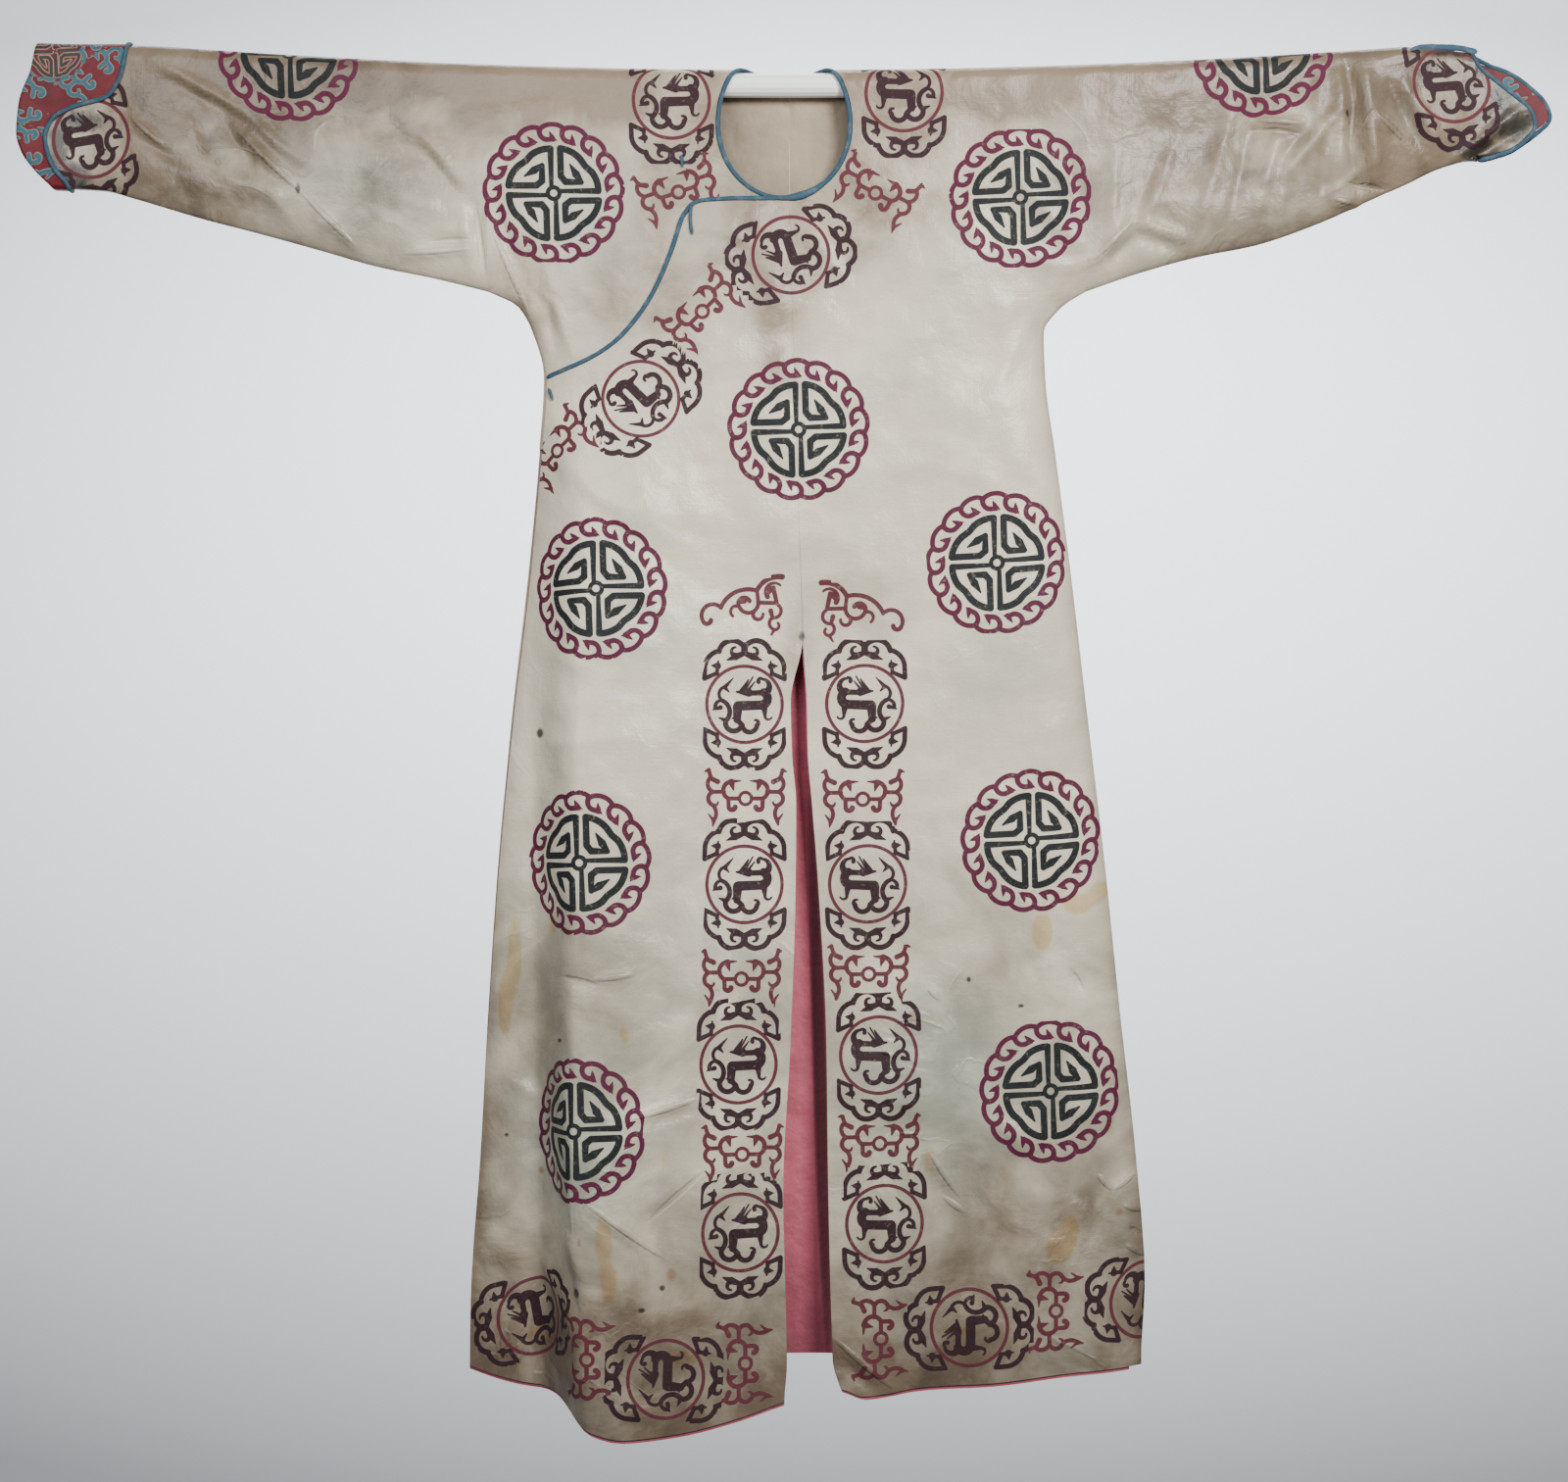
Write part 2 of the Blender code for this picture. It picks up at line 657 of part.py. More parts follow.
def ring_normals(grid):
    """Mitred directions out of a closed ring of rows: a push along them moves every wall by its length."""
    along = np.gradient(grid, axis=1)
    walls = []
    for step in (grid - np.roll(grid, 1, axis=0), np.roll(grid, -1, axis=0) - grid):
        out = np.cross(step, along)
        walls.append(out / np.linalg.norm(out, axis=-1, keepdims=True))
    shared = np.sum(walls[0] * walls[1], axis=-1, keepdims=True)
    mitre = (walls[0] + walls[1]) / (1 + shared)
    return mitre * np.sign(np.sum(mitre[..., 1] * grid[..., 1]))


def height_fractions():
    """How far down the sleeve each row of the ring is, from 0 at the fold to 1 at the lower seam."""
    levels, _ = ring_levels()
    height = ARMHOLE_DROP + WRAP_RADIUS
    return [
        (level + WRAP_RADIUS if level > 0 else WRAP_RADIUS * (1 + math.sin(level))) / height
        for level in levels
    ]


def edge_direction(grid):
    """Unit directions along the cloth, past the last column of a ring and square to it."""
    edge = grid[:, -1]
    past = np.cross(np.roll(edge, -1, axis=0) - np.roll(edge, 1, axis=0), ring_normals(grid)[:, -1])
    past /= np.linalg.norm(past, axis=-1, keepdims=True)
    return past * np.sign(np.sum(past * (edge - grid[:, -2])))


def beside_edge(grid, distance):
    return grid[:, -1] + edge_direction(grid) * distance


def ring_seam(grid):
    columns = range(grid.shape[1])
    return [(0, column) for column in columns], [(grid.shape[0] - 1, column) for column in columns]


def make_sleeves(robe):
    count = len(ring_levels()[0])
    for name, side, cuff_x in (("sleeve_left", 1, LEFT_CUFF_X), ("sleeve_right", -1, RIGHT_CUFF_X)):
        start = side * (ARMHOLE_X + SLEEVE_GAP)
        end = cuff_x - side * SEAM_GAP
        grid = sleeve_grid([start] * count, [end] * count, SLEEVE_COLUMNS)
        cloth(robe, name, grid, SILK, "silk", ring_seam(grid))


def make_right_cuff(robe):
    """The right cuff, turned back so that its facing covers the end of the sleeve."""
    fractions = height_fractions()
    folds = [float(follow(TURNED_CUFF, 1, t)) for t in fractions]
    widths = [float(follow(TURNED_CUFF, 2, t)) for t in fractions]
    grid = sleeve_grid([RIGHT_CUFF_X] * len(folds), folds, CUFF_COLUMNS)
    cloth(robe, "cuff_right", grid, SILK, "silk", ring_seam(grid))

    turn = LINING_INSET + SEAM_GAP
    out = ring_normals(grid)[:, -1]
    past = edge_direction(grid)
    layers = []
    for tuck in FACING_TUCKS:
        layers.append(sleeve_grid([f + tuck for f in folds], folds, [0.0, 1.0], -turn)[:, 0])
    for angle in FACING_FOLD_ANGLES:
        angle = math.radians(angle)
        layers.append(grid[:, -1] + (past * math.cos(angle) + out * math.sin(angle)) * turn)
    for share in FACING_SHARES:
        edge = [f + share * w for f, w in zip(folds, widths)]
        layers.append(sleeve_grid(edge, folds, [0.0, 1.0], turn)[:, 0])
    grid = np.stack(layers, axis=1)
    cloth(robe, "cuff_right_facing", grid, LINING, "satin_red", ring_seam(grid))

    clear = BINDING_RADIUS + SEAM_GAP + BINDING_CLEARANCE
    edge = [f + w for f, w in zip(folds, widths)]
    flap = sleeve_grid(folds, edge, [0.0, 1.0], SILK / 2 + clear)
    tube(robe, "cuff_right_binding", beside_edge(flap, clear), BINDING_RADIUS, "binding_blue", closed=True)


def make_left_cuff(robe):
    """The left cuff, pointed and turned so that the facing inside its back half shows."""
    fractions = height_fractions()
    _, faces = ring_levels()
    ends = [float(follow(OPEN_CUFF, 1 if face == FRONT else 2, t)) for t, face in zip(fractions, faces)]
    grid = sleeve_grid([LEFT_CUFF_X] * len(ends), ends, CUFF_COLUMNS)
    cloth(robe, "cuff_left", grid, SILK, "silk", ring_seam(grid))

    starts = [LEFT_FACING_X] * len(ends)
    facing = sleeve_grid(starts, ends, CUFF_COLUMNS, -LINING_INSET)
    top = len(ends) // 2
    cloth(robe, "cuff_left_facing", facing[top + 1 : -2], LINING, "satin_red")

    clear = BINDING_RADIUS + SEAM_GAP + BINDING_CLEARANCE
    tube(robe, "cuff_left_binding", beside_edge(grid, clear), BINDING_RADIUS, "binding_blue", closed=True)


def make_neck_binding(robe):
    """A ring through the same rows as the cloth's edge, so that the two run side by side."""
    levels = top_levels()
    rows = [float(travel(level, FRONT)) for level in levels[::-1]]
    rows += [float(travel(level, BACK)) for level in levels[1:]]
    turns = sorted({float(neck_turn(along)) for along in rows}, reverse=True)
    points = []
    for side, path in ((1, turns), (-1, turns[-2:0:-1])):
        for turn in path:
            height = NECK_LOWER_HEIGHT if turn > 0 else NECK_UPPER_HEIGHT
            x = NECK_X + side * NECK_HALF_WIDTH * math.cos(turn)
            point = at_travel(x, NECK_WIDEST_DROP + height * math.sin(turn))
            out = point * (0.0, 1.0, 1.0 if point[2] > 0 else 0.0)
            points.append(point + out / np.linalg.norm(out) * NECK_BINDING_OUT)
    tube(robe, "neck_binding", points, NECK_BINDING_RADIUS, "binding_blue", closed=True)


def make_overlap_binding(robe):
    """Along the overlap's top edge, on the underlap."""
    clear = BINDING_RADIUS + SEAM_GAP + BINDING_CLEARANCE
    edge = along_path(OVERLAP_EDGE, OVERLAP_TOP_COLUMNS[OVERLAP_BINDING_START:])
    along = np.gradient(edge, axis=0)
    along /= np.linalg.norm(along, axis=1, keepdims=True)
    x = edge[:, 0] - along[:, 1] * clear
    drop = edge[:, 1] + along[:, 0] * clear
    points = hang(x, drop, FRONT)
    points[:, 1] -= SILK / 2 + clear
    tube(robe, "overlap_binding", points, BINDING_RADIUS, "binding_blue")


def make_ties(robe):
    """What is left of the ties and loops, lying on the cloth."""
    for name, (lift, path) in TIES.items():
        path = np.array(path)
        points = hang(path[:, 0], path[:, 1], FRONT)
        points[:, 1] -= lift + SILK / 2 + TIE_RADIUS + 2 * SEAM_GAP
        tube(robe, name, points, TIE_RADIUS, "binding_blue")


def make_rod(robe):
    x = np.linspace(-ROD_HALF_LENGTH, ROD_HALF_LENGTH, ROD_STEPS + 1)
    points = np.stack([x, np.zeros_like(x), rod_height(x)], axis=1)
    tube(robe, "rod", points, ROD_RADIUS, "rod_white", resolution=6)


def main():
    for old in list(bpy.data.objects):
        bpy.data.objects.remove(old)
    robe = bpy.data.collections.new("chinese_robe")
    bpy.context.scene.collection.children.link(robe)
    make_body(robe)
    make_overlap(robe)
    make_sleeves(robe)
    make_right_cuff(robe)
    make_left_cuff(robe)
    make_neck_binding(robe)
    make_overlap_binding(robe)
    make_ties(robe)
    make_rod(robe)


main()
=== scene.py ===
"""A long Chinese robe of brocaded silk with horseshoe cuffs, hung flat on a rod through both sleeves.

Metres, +Z up, front towards -Y, with the origin in the middle of the rod. In tables and names, "drop"
is the height below the origin. Left and right are the wearer's, so the robe's left is at +X.
Each piece of cloth is a grid of rows and columns. A row has a level: 0 is where the cloth leaves the
rod, a positive level is a drop in metres, and a negative one is the angle up round the rod, in radians.
Every piece also carries its own flat coordinates, across and along the cloth, which the woven motifs
follow.
"""

import math

import bmesh
import bpy
import numpy as np
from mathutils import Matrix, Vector


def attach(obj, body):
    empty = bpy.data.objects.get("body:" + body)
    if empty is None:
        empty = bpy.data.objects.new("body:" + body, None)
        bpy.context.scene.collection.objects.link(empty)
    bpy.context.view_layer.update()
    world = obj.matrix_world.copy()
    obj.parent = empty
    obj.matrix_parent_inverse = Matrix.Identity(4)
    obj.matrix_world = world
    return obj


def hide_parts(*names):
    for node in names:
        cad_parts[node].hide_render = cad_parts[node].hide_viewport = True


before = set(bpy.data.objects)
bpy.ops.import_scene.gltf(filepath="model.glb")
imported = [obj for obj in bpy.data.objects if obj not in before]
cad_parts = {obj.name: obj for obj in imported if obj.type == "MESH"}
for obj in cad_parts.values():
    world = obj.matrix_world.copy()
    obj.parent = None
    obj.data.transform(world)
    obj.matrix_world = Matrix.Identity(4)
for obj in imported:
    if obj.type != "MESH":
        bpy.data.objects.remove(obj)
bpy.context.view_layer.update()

bl_info = {
    "name": "Chinese silk robe",
    "version": (1, 0, 0),
    "blender": (4, 5, 0),
    "location": "View3D > Sidebar > Robe",
    "description": "Builds a brocaded silk robe with horseshoe cuffs, hung on its rod, piece by piece",
    "category": "Add Mesh",
}

MM = 0.001
FAR = 9.0
FRONT = -1
BACK = 1

# The rod, and the cloth's path over it
ROD_HALF_LENGTH = 0.66
ROD_SAG = 0.057
ROD_END_SLOPE = {-1: 0.06, 1: -0.05}
WRAP_RADIUS = 0.0156
CUFF_WRAP_RADIUS = 0.010
CUFF_END_X = 0.80
QUARTER_TURN = math.pi / 2 * WRAP_RADIUS

# Walls and gaps
SILK = 0.0015
LINING = 0.001
SEAM_GAP = 0.0003
LINING_INSET = SILK / 2 + SEAM_GAP + LINING / 2
SKIRT_LINING_INSET = LINING_INSET + 0.0004
HEM_PEEK = 0.004
EDGE_PEEK = 0.0012
SIDE_INSET = 0.013
VENT_INSET = 0.002
CENTRE_SEAM = 0.0001

# Front and back meet at the sides and under the sleeves
EDGE_DEPTH = 0.001
VENT_DEPTH = 0.0035
VENT_DROPS = (0.60, 0.75)
CUFF_EDGE_DEPTH = 0.006
SLEEVE_END_X = 0.64
EDGE_SOFTNESS = 0.05

# Armhole and neck
ARMHOLE_X = 0.32
ARMHOLE_DROP = 0.22
NECK_X = -0.003
NECK_WIDEST_DROP = 0.045
NECK_HALF_WIDTH = 0.0705
NECK_LOWER_HEIGHT = 0.0784
NECK_UPPER_HEIGHT = 0.0887
NECK_MARGIN = 0.003
BACK_CENTRE_X = 0.003

# Blue bindings
NECK_BINDING_OUT = 0.0008
BINDING_RADIUS = 0.0018
BINDING_CLEARANCE = 0.0005
BINDING_CLEAR = BINDING_RADIUS + SEAM_GAP + BINDING_CLEARANCE
BINDING_STEP = 0.0025
BINDING_RIM_STEP = 0.0011
NECK_FOLD_X = 0.017
NECK_FOLD_WIDTH = 0.016
NECK_FOLD_DROP = 0.10
NECK_FOLD_SHARE = 0.75
TIE_LIFT = 0.0016

# The overlap lies on the underlap
OVERLAP_LIFT = 0.0024
OVERLAP_LIFT_WIDTH = 0.018
OVERLAP_LIFT_END = (0.42, 0.60)
UNDERLAP_CENTRE_GAP = 0.022
UNDERLAP_END = 0.39

BODY_WIDTH = 0.34
OVERLAP_LENGTH = 1.27
SKIRT_END = 1.39
BACK_HEM = 1.362
BACK_HEM_SIDE_DROP = 0.007
YOKE_END = 0.40
YOKE_CELL = 0.006
BACK_LINING_TOP = 0.41

# Distance from the middle, drop of the sleeve's lower seam on the right and on the left
SLEEVE_SEAM = [
    (0.320, 0.220, 0.220),
    (0.375, 0.2065, 0.201),
    (0.440, 0.193, 0.183),
    (0.500, 0.176, 0.171),
    (0.565, 0.158, 0.149),
    (0.630, 0.141, 0.120),
    (0.660, 0.132, 0.107),
    (0.700, 0.120, 0.088),
    (0.730, 0.112, 0.080),
    (0.760, 0.110, 0.079),
    (0.830, 0.107, 0.079),
]

# Drop, distance of the side seam from the middle on the right and on the left
SIDE_SEAM = [
    (0.220, 0.320, 0.320),
    (0.236, 0.287, 0.295),
    (0.265, 0.271, 0.2745),
    (0.312, 0.2594, 0.276),
    (0.400, 0.2652, 0.2875),
    (0.520, 0.2763, 0.303),
    (0.680, 0.2945, 0.3215),
    (0.840, 0.3095, 0.340),
    (1.000, 0.320, 0.356),
    (1.160, 0.3285, 0.373),
    (1.300, 0.338, 0.3825),
    (1.370, 0.339, 0.379),
]

# Drop, x of the overlap's edge, x of the left front's edge: a seam down to the slit, then the slit's sides
CENTRE = [
    (0.123, 0.002, 0.002),
    (0.360, 0.0095, 0.0095),
    (0.578, 0.0163, 0.0163),
    (0.593, 0.0168, 0.0168),
    (0.660, 0.0042, 0.0213),
    (0.715, 0.0056, 0.0225),
    (0.770, 0.0100, 0.0270),
    (0.856, 0.0094, 0.0336),
    (1.017, 0.0042, 0.0420),
    (1.178, -0.0037, 0.0441),
    (1.360, 0.0000, 0.0494),
    (1.395, -0.0026, 0.0600),
]

# x, drop of the overlap's hem
OVERLAP_HEM = [
    (-0.339, 1.370),
    (-0.285, 1.384),
    (-0.245, 1.391),
    (-0.205, 1.424),
    (-0.170, 1.433),
    (-0.110, 1.429),
    (-0.050, 1.417),
    (0.000, 1.400),
]

# x, drop of the left front's hem
LEFT_HEM = [
    (0.060, 1.390),
    (0.083, 1.398),
    (0.137, 1.391),
    (0.206, 1.386),
    (0.300, 1.376),
    (0.379, 1.369),
]

# x, drop along the overlap's top edge, from the centre seam to the right side
OVERLAP_EDGE = [
    (0.002, 0.1265),
    (-0.045, 0.1265),
    (-0.092, 0.1290),
    (-0.107, 0.1420),
    (-0.120, 0.1790),
    (-0.144, 0.2320),
    (-0.180, 0.2770),
    (-0.212, 0.2980),
    (-0.256, 0.3160),
]

# The right front skirt swells forward: drop, x of its foot, x of its crest, depth there, depth at the slit
SWELL = [
    (0.32, -0.262, -0.200, 0.000, 0.000),
    (0.54, -0.277, -0.212, 0.030, 0.003),
    (0.83, -0.274, -0.219, 0.048, 0.010),
    (1.11, -0.268, -0.223, 0.064, 0.020),
    (1.43, -0.262, -0.205, 0.066, 0.027),
]

# Soft waves: side, x at the hem, drop where it begins, depth at the hem, half width
WAVES = [
    (FRONT, 0.070, 0.62, 0.014, 0.060),
    (FRONT, 0.230, 0.80, 0.009, 0.050),
    (BACK, -0.210, 0.60, 0.014, 0.080),
    (BACK, 0.030, 0.75, 0.010, 0.070),
    (BACK, 0.240, 0.65, 0.015, 0.080),
]

# Fraction of the height, x of the fold of the right cuff's end, width that is turned back
TURNED_CUFF = [
    (0.00, -0.800, 0.094),
    (0.20, -0.806, 0.093),
    (0.33, -0.814, 0.090),
    (0.42, -0.818, 0.056),
    (0.52, -0.820, 0.034),
    (0.64, -0.821, 0.027),
    (0.76, -0.816, 0.024),
    (0.88, -0.803, 0.018),
    (1.00, -0.784, 0.015),
]

# Fraction of the height, x of the left cuff's end in front and at the back
OPEN_CUFF = [
    (0.00, 0.730, 0.730),
    (0.12, 0.738, 0.775),
    (0.28, 0.760, 0.800),
    (0.42, 0.780, 0.814),
    (0.55, 0.794, 0.818),
    (0.68, 0.797, 0.806),
    (0.80, 0.788, 0.790),
    (0.90, 0.774, 0.774),
    (1.00, 0.740, 0.740),
]
SLEEVE_CELL_SHARE = 0.85
CUFF_STEPS = 44
RIGHT_CUFF_COLUMNS = 26
TURNED_COLUMNS = 22
TURNED_START = 0.04
LEFT_CUFF_COLUMNS = 30
LEFT_FACING_COLUMNS = 20
LEFT_FACING_ROWS = (2, -3)
FACING_TUCKS = (0.009, 0.003)
FACING_FOLD_ANGLES = (-75, -50, -25, 0, 25, 50, 75)
RIGHT_CUFF_X = -0.698
LEFT_CUFF_X = 0.655
LEFT_FACING_X = 0.71

# The left cuff's binding is tucked over the top edge: x, y, z
CUFF_TUCK = [
    (0.666, -0.0120, 0.0330),
    (0.676, -0.0070, 0.0390),
    (0.695, -0.0030, 0.0405),
    (0.716, -0.0030, 0.0398),
    (0.738, -0.0080, 0.0340),
]

# Each tie: height of the cloth that it lies on above the underlap, then x, drop of its points
TIES = {
    "tie_neck": (OVERLAP_LIFT, [(-0.1020, 0.1315), (-0.1030, 0.146), (-0.1010, 0.163)]),
    "tie_shoulder": (0.0, [(-0.1120, 0.078), (-0.1115, 0.091)]),
    "tie_side": (OVERLAP_LIFT, [(-0.2545, 0.325), (-0.2500, 0.338)]),
}

# How the overlap's columns run from its top edge to its hem: share of each
OVERLAP_TOP_COLUMNS = [0.0, 0.06, 0.12, 0.20, 0.28, 0.37, 0.46, 0.56, 0.66, 0.76, 0.84, 0.90, 0.95, 1.0]
OVERLAP_HEM_COLUMNS = [0.0, 0.10, 0.21, 0.33, 0.45, 0.56, 0.64, 0.69, 0.73, 0.77, 0.81, 0.87, 0.94, 1.0]
OVERLAP_BINDING_START = 0.03
OVERLAP_LINING_START = 0.37

# A crease fades over this depth to the other side, keeps this share of its height at its ends, and has a
# bell of this power across. On the rod only the last share is left, growing over a height to the whole.
CREASE_FADE = 0.012
CREASE_ENDS = 0.35
CREASE_POWER = 1.6
TIGHT_SHARE = 0.25
TIGHT_ABOVE = 0.012
TIGHT_WITHIN = 0.03

# Creases, all in millimetres: x and drop of one end, x and drop of the other, half width, and height,
# which is negative in a trough
FRONT_CREASES = [
    # Right sleeve
    (-660, -15, -576, 34, 5.5, 7.1), (-655, -3, -568, 46, 8, -6), (-576, 34, -512, 88, 5, 4.3),
    (-566, 30, -523, 78, 5, -3.7), (-608, 33, -570, 88, 8, -7.7), (-585, 53, -517, 118, 4.5, 7.7),
    (-517, 118, -461, 173, 4.5, 6.4), (-535, 102, -498, 137, 6, -6), (-393, 66, -352, 116, 5, -5.8),
    (-386, 58, -343, 112, 5.5, 5), (-407, 182, -337, 177, 4, 5.8), (-378, 169, -334, 168, 4, -5.4),
    (-440, 140, -400, 160, 7, 3.7), (-332, 130, -323, 205, 4, -6.4), (-350, 120, -336, 200, 5.5, 4.3),
    (-700, 36, -665, 68, 4.2, 5.4), (-690, 60, -640, 88, 5.5, -4.1), (-604, 98, -578, 112, 6, 4.3),
    (-552, 108, -534, 140, 6, 4.7), (-506, 140, -488, 156, 5, 4.1), (-470, 30, -430, 100, 10, 3.4),
    (-430, 20, -400, 80, 9, -3.4), (-640, 30, -622, 90, 8, -3.4),
    # Round the right armhole and under the overlap's edge
    (-314, 156, -275, 247, 4.2, 4.6), (-305, 150, -266, 243, 5.5, -4.1),
    (-259, 197, -227, 293, 5.5, 4.1), (-268, 190, -246, 290, 6, -3.6), (-300, 150, -262, 270, 8, 2.9),
    (-317, 100, -290, 215, 7, -2.6), (-230, 200, -190, 260, 7, 1.9),
    # Overlap and chest
    (-213, 433, -108, 496, 8, 2.4), (-205, 455, -120, 520, 7, -2.2), (-240, 400, -170, 470, 9, 2.4),
    (-90, 150, -30, 175, 5, 2.6), (-80, 165, -20, 190, 5, -2.2), (-60, 130, -55, 190, 5, 1.4),
    (30, 140, 80, 220, 7, -1.4), (20, 150, 90, 250, 6, 1.7), (-10, 210, -70, 300, 7, 1.7),
    (0, 270, -50, 330, 6, -1.4),
    # Round the left armhole
    (250, 110, 330, 190, 7, 3.1), (240, 180, 320, 205, 6, 3.1), (255, 205, 300, 250, 6, -2.6),
    (290, 60, 330, 160, 8, -2.2), (270, 230, 220, 330, 8, 2.2),
    # Left sleeve
    (302, 196, 328, 188, 5, 6.1), (328, 188, 368, 149, 4.5, 8.6), (368, 149, 428, 166, 5, 7.2),
    (345, 190, 375, 164, 6, -7.2), (375, 164, 418, 178, 6, -6.1), (596, -30, 605, 20, 5, -9),
    (605, 20, 601, 66, 4.4, -10.1), (601, 66, 612, 118, 5.5, -8), (588, -10, 592, 50, 7.5, 7),
    (592, 50, 584, 112, 8.5, 6), (615, -20, 620, 40, 7, 6.4), (620, 40, 630, 104, 8, 5),
    (628, 33, 660, 63, 4.5, 7), (642, 1, 682, 76, 5, -7.7), (655, -4, 694, 60, 5.5, 5.7),
    (584, 33, 530, 101, 5.5, 7.7), (530, 101, 523, 153, 5.5, 6.1), (572, 30, 520, 92, 7, -5.7),
    (584, 123, 610, 128, 4, 7), (596, 106, 640, 112, 4.5, -6.1), (501, 40, 551, 44, 4, 5.2),
    (495, 50, 545, 54, 4.5, -4.1), (400, -8, 420, -18, 6, 4.5), (570, -10, 560, 130, 7, 3.6),
    (530, 20, 500, 150, 8, 4.9), (500, 30, 470, 155, 6, -4.5), (480, 10, 440, 150, 9, 4.5),
    (420, 50, 370, 170, 8, 4.5), (395, 80, 360, 190, 6, -4.1), (350, 60, 345, 195, 7, 4.1),
    (630, 80, 580, 118, 5, 3.2), (712, 80, 786, 26, 5, 6.1), (735, 80, 790, 45, 9, -8.1),
    # Right front skirt
    (-236, 949, -197, 958, 4.2, -3.4), (-205, 952, -160, 947, 4.5, 3.4),
    (-160, 1098, -94, 1079, 4.5, 3.7), (-156, 1107, -96, 1089, 5, -3),
    (-86, 1155, -145, 1205, 4.2, -3.9), (-78, 1152, -150, 1196, 5, 3.4),
    (-209, 1186, -125, 1247, 4.5, 4.1), (-212, 1200, -140, 1254, 6, -2.8),
    (-244, 1235, -213, 1315, 7, -5.1), (-228, 1225, -196, 1310, 7, 3.9),
    (-300, 1060, -255, 1090, 5, 2.5), (-180, 1020, -130, 1005, 5, 2.3),
    (-295, 1140, -255, 1122, 5, 2.8), (-140, 1310, -85, 1290, 6, 2.5), (-175, 1395, -120, 1420, 6, 2.8),
    (-190, 560, -130, 540, 7, 1.8), (-250, 610, -180, 640, 7, 1.8), (-130, 700, -85, 730, 6, 1.6),
    (-225, 1215, -120, 1285, 9, -2.3), (-270, 700, -180, 705, 8, 1.4), (-280, 900, -230, 1000, 9, 2.1),
    (-290, 1020, -235, 1140, 10, -2.3), (-300, 1180, -240, 1280, 10, 2.8),
    (-320, 1240, -260, 1370, 8, -2.3), (-120, 1290, -60, 1400, 9, 2.3), (-60, 1270, -10, 1380, 6, -1.8),
    (-30, 640, -80, 740, 7, 1.6),
    # Left front skirt
    (150, 965, 164, 978, 4.5, 3), (153, 1142, 184, 1187, 4.5, 3.7), (166, 1187, 190, 1204, 4, 3.4),
    (143, 1150, 172, 1194, 6, -3), (302, 945, 316, 968, 4.5, -3.9), (314, 935, 344, 955, 5, 3.7),
    (331, 1164, 348, 1181, 4, 3.9), (348, 1181, 373, 1164, 4, 3.9), (300, 1182, 330, 1196, 5.5, -3.2),
    (360, 1198, 380, 1204, 4, 3.9), (366, 1222, 382, 1232, 4, -4.1), (362, 1240, 384, 1252, 4, 4.1),
    (220, 1100, 262, 1140, 6, 2.5), (100, 1080, 150, 1100, 6, 2.3), (240, 1215, 300, 1245, 6, 2.8),
    (205, 1165, 232, 1205, 5.5, 3), (160, 1250, 260, 1340, 8, -2.3), (110, 900, 150, 925, 6, 2.1),
    (50, 1336, 114, 1391, 4, 4.1), (42, 1350, 100, 1397, 7, -3.9), (120, 400, 240, 430, 9, 1.4),
    (140, 780, 250, 760, 10, 1.4),
    # Broad swells of the sleeves, the chest and the skirts
    (-620, 100, -500, 130, 20, 4.5), (-500, 60, -360, 150, 24, 5.5), (-560, 20, -400, 60, 22, -4),
    (-665, 50, -600, 90, 18, -4.5), (-440, 20, -340, 90, 20, 3.5), (350, 150, 470, 100, 22, 5),
    (380, 50, 520, 60, 22, -4), (490, 130, 580, 30, 18, 5.5), (627, 10, 624, 105, 11, 5),
    (650, 95, 672, 0, 13, -4.5), (555, 115, 600, 100, 12, -5), (-220, 410, -60, 480, 30, 2.8),
    (120, 250, 230, 460, 35, 3.2), (130, 690, 270, 950, 40, 3), (-260, 660, -130, 830, 35, 3),
    (-250, 1000, -120, 1060, 28, -3.5), (130, 1080, 330, 1150, 30, 3.5),
]
BACK_CREASES = [
    (-1, 16, 6, 30, 3.5, 4), (6, 30, 0, 50, 3.5, 2.6), (-60, 30, -52, 75, 7, 3.5),
    (55, 20, 48, 70, 7, 3.5), (-610, 30, -520, 120, 7, 3), (-560, 20, -480, 150, 8, -2.4),
    (-450, 40, -380, 170, 9, 2.6), (-390, 80, -330, 200, 7, -2.4), (-330, 110, -270, 260, 8, 2.8),
    (-290, 180, -200, 300, 9, 2.2), (600, -20, 606, 110, 6, -3.4), (560, 0, 530, 140, 8, 2.6),
    (480, 20, 430, 160, 8, 2.4), (400, 60, 350, 190, 8, -2.2), (330, 100, 265, 250, 8, 2.8),
    (290, 200, 190, 310, 9, 2), (-40, 140, -120, 240, 9, 1.8), (50, 150, 130, 260, 9, 1.6),
    (-10, 330, -120, 380, 9, 1.6), (200, 480, 90, 560, 10, 1.6), (-230, 620, -120, 700, 10, 1.8),
    (260, 760, 140, 860, 10, 2), (-260, 900, -130, 960, 9, -2), (280, 1000, 170, 1110, 10, 2.2),
    (-80, 1060, 50, 1130, 9, 2), (-300, 1130, -190, 1230, 9, 2.4), (100, 1190, 230, 1290, 10, -2),
    (-140, 1240, -30, 1340, 8, 2.2), (330, 1230, 260, 1350, 8, 2.2),
]

# Creases up to the first half width, in millimetres, are drawn once more with the second one and with
# this share of their length
CRISP_WIDTH = 4.5
CRISP_HALF_WIDTH = 4.2
CRISP_REACH = 1.15

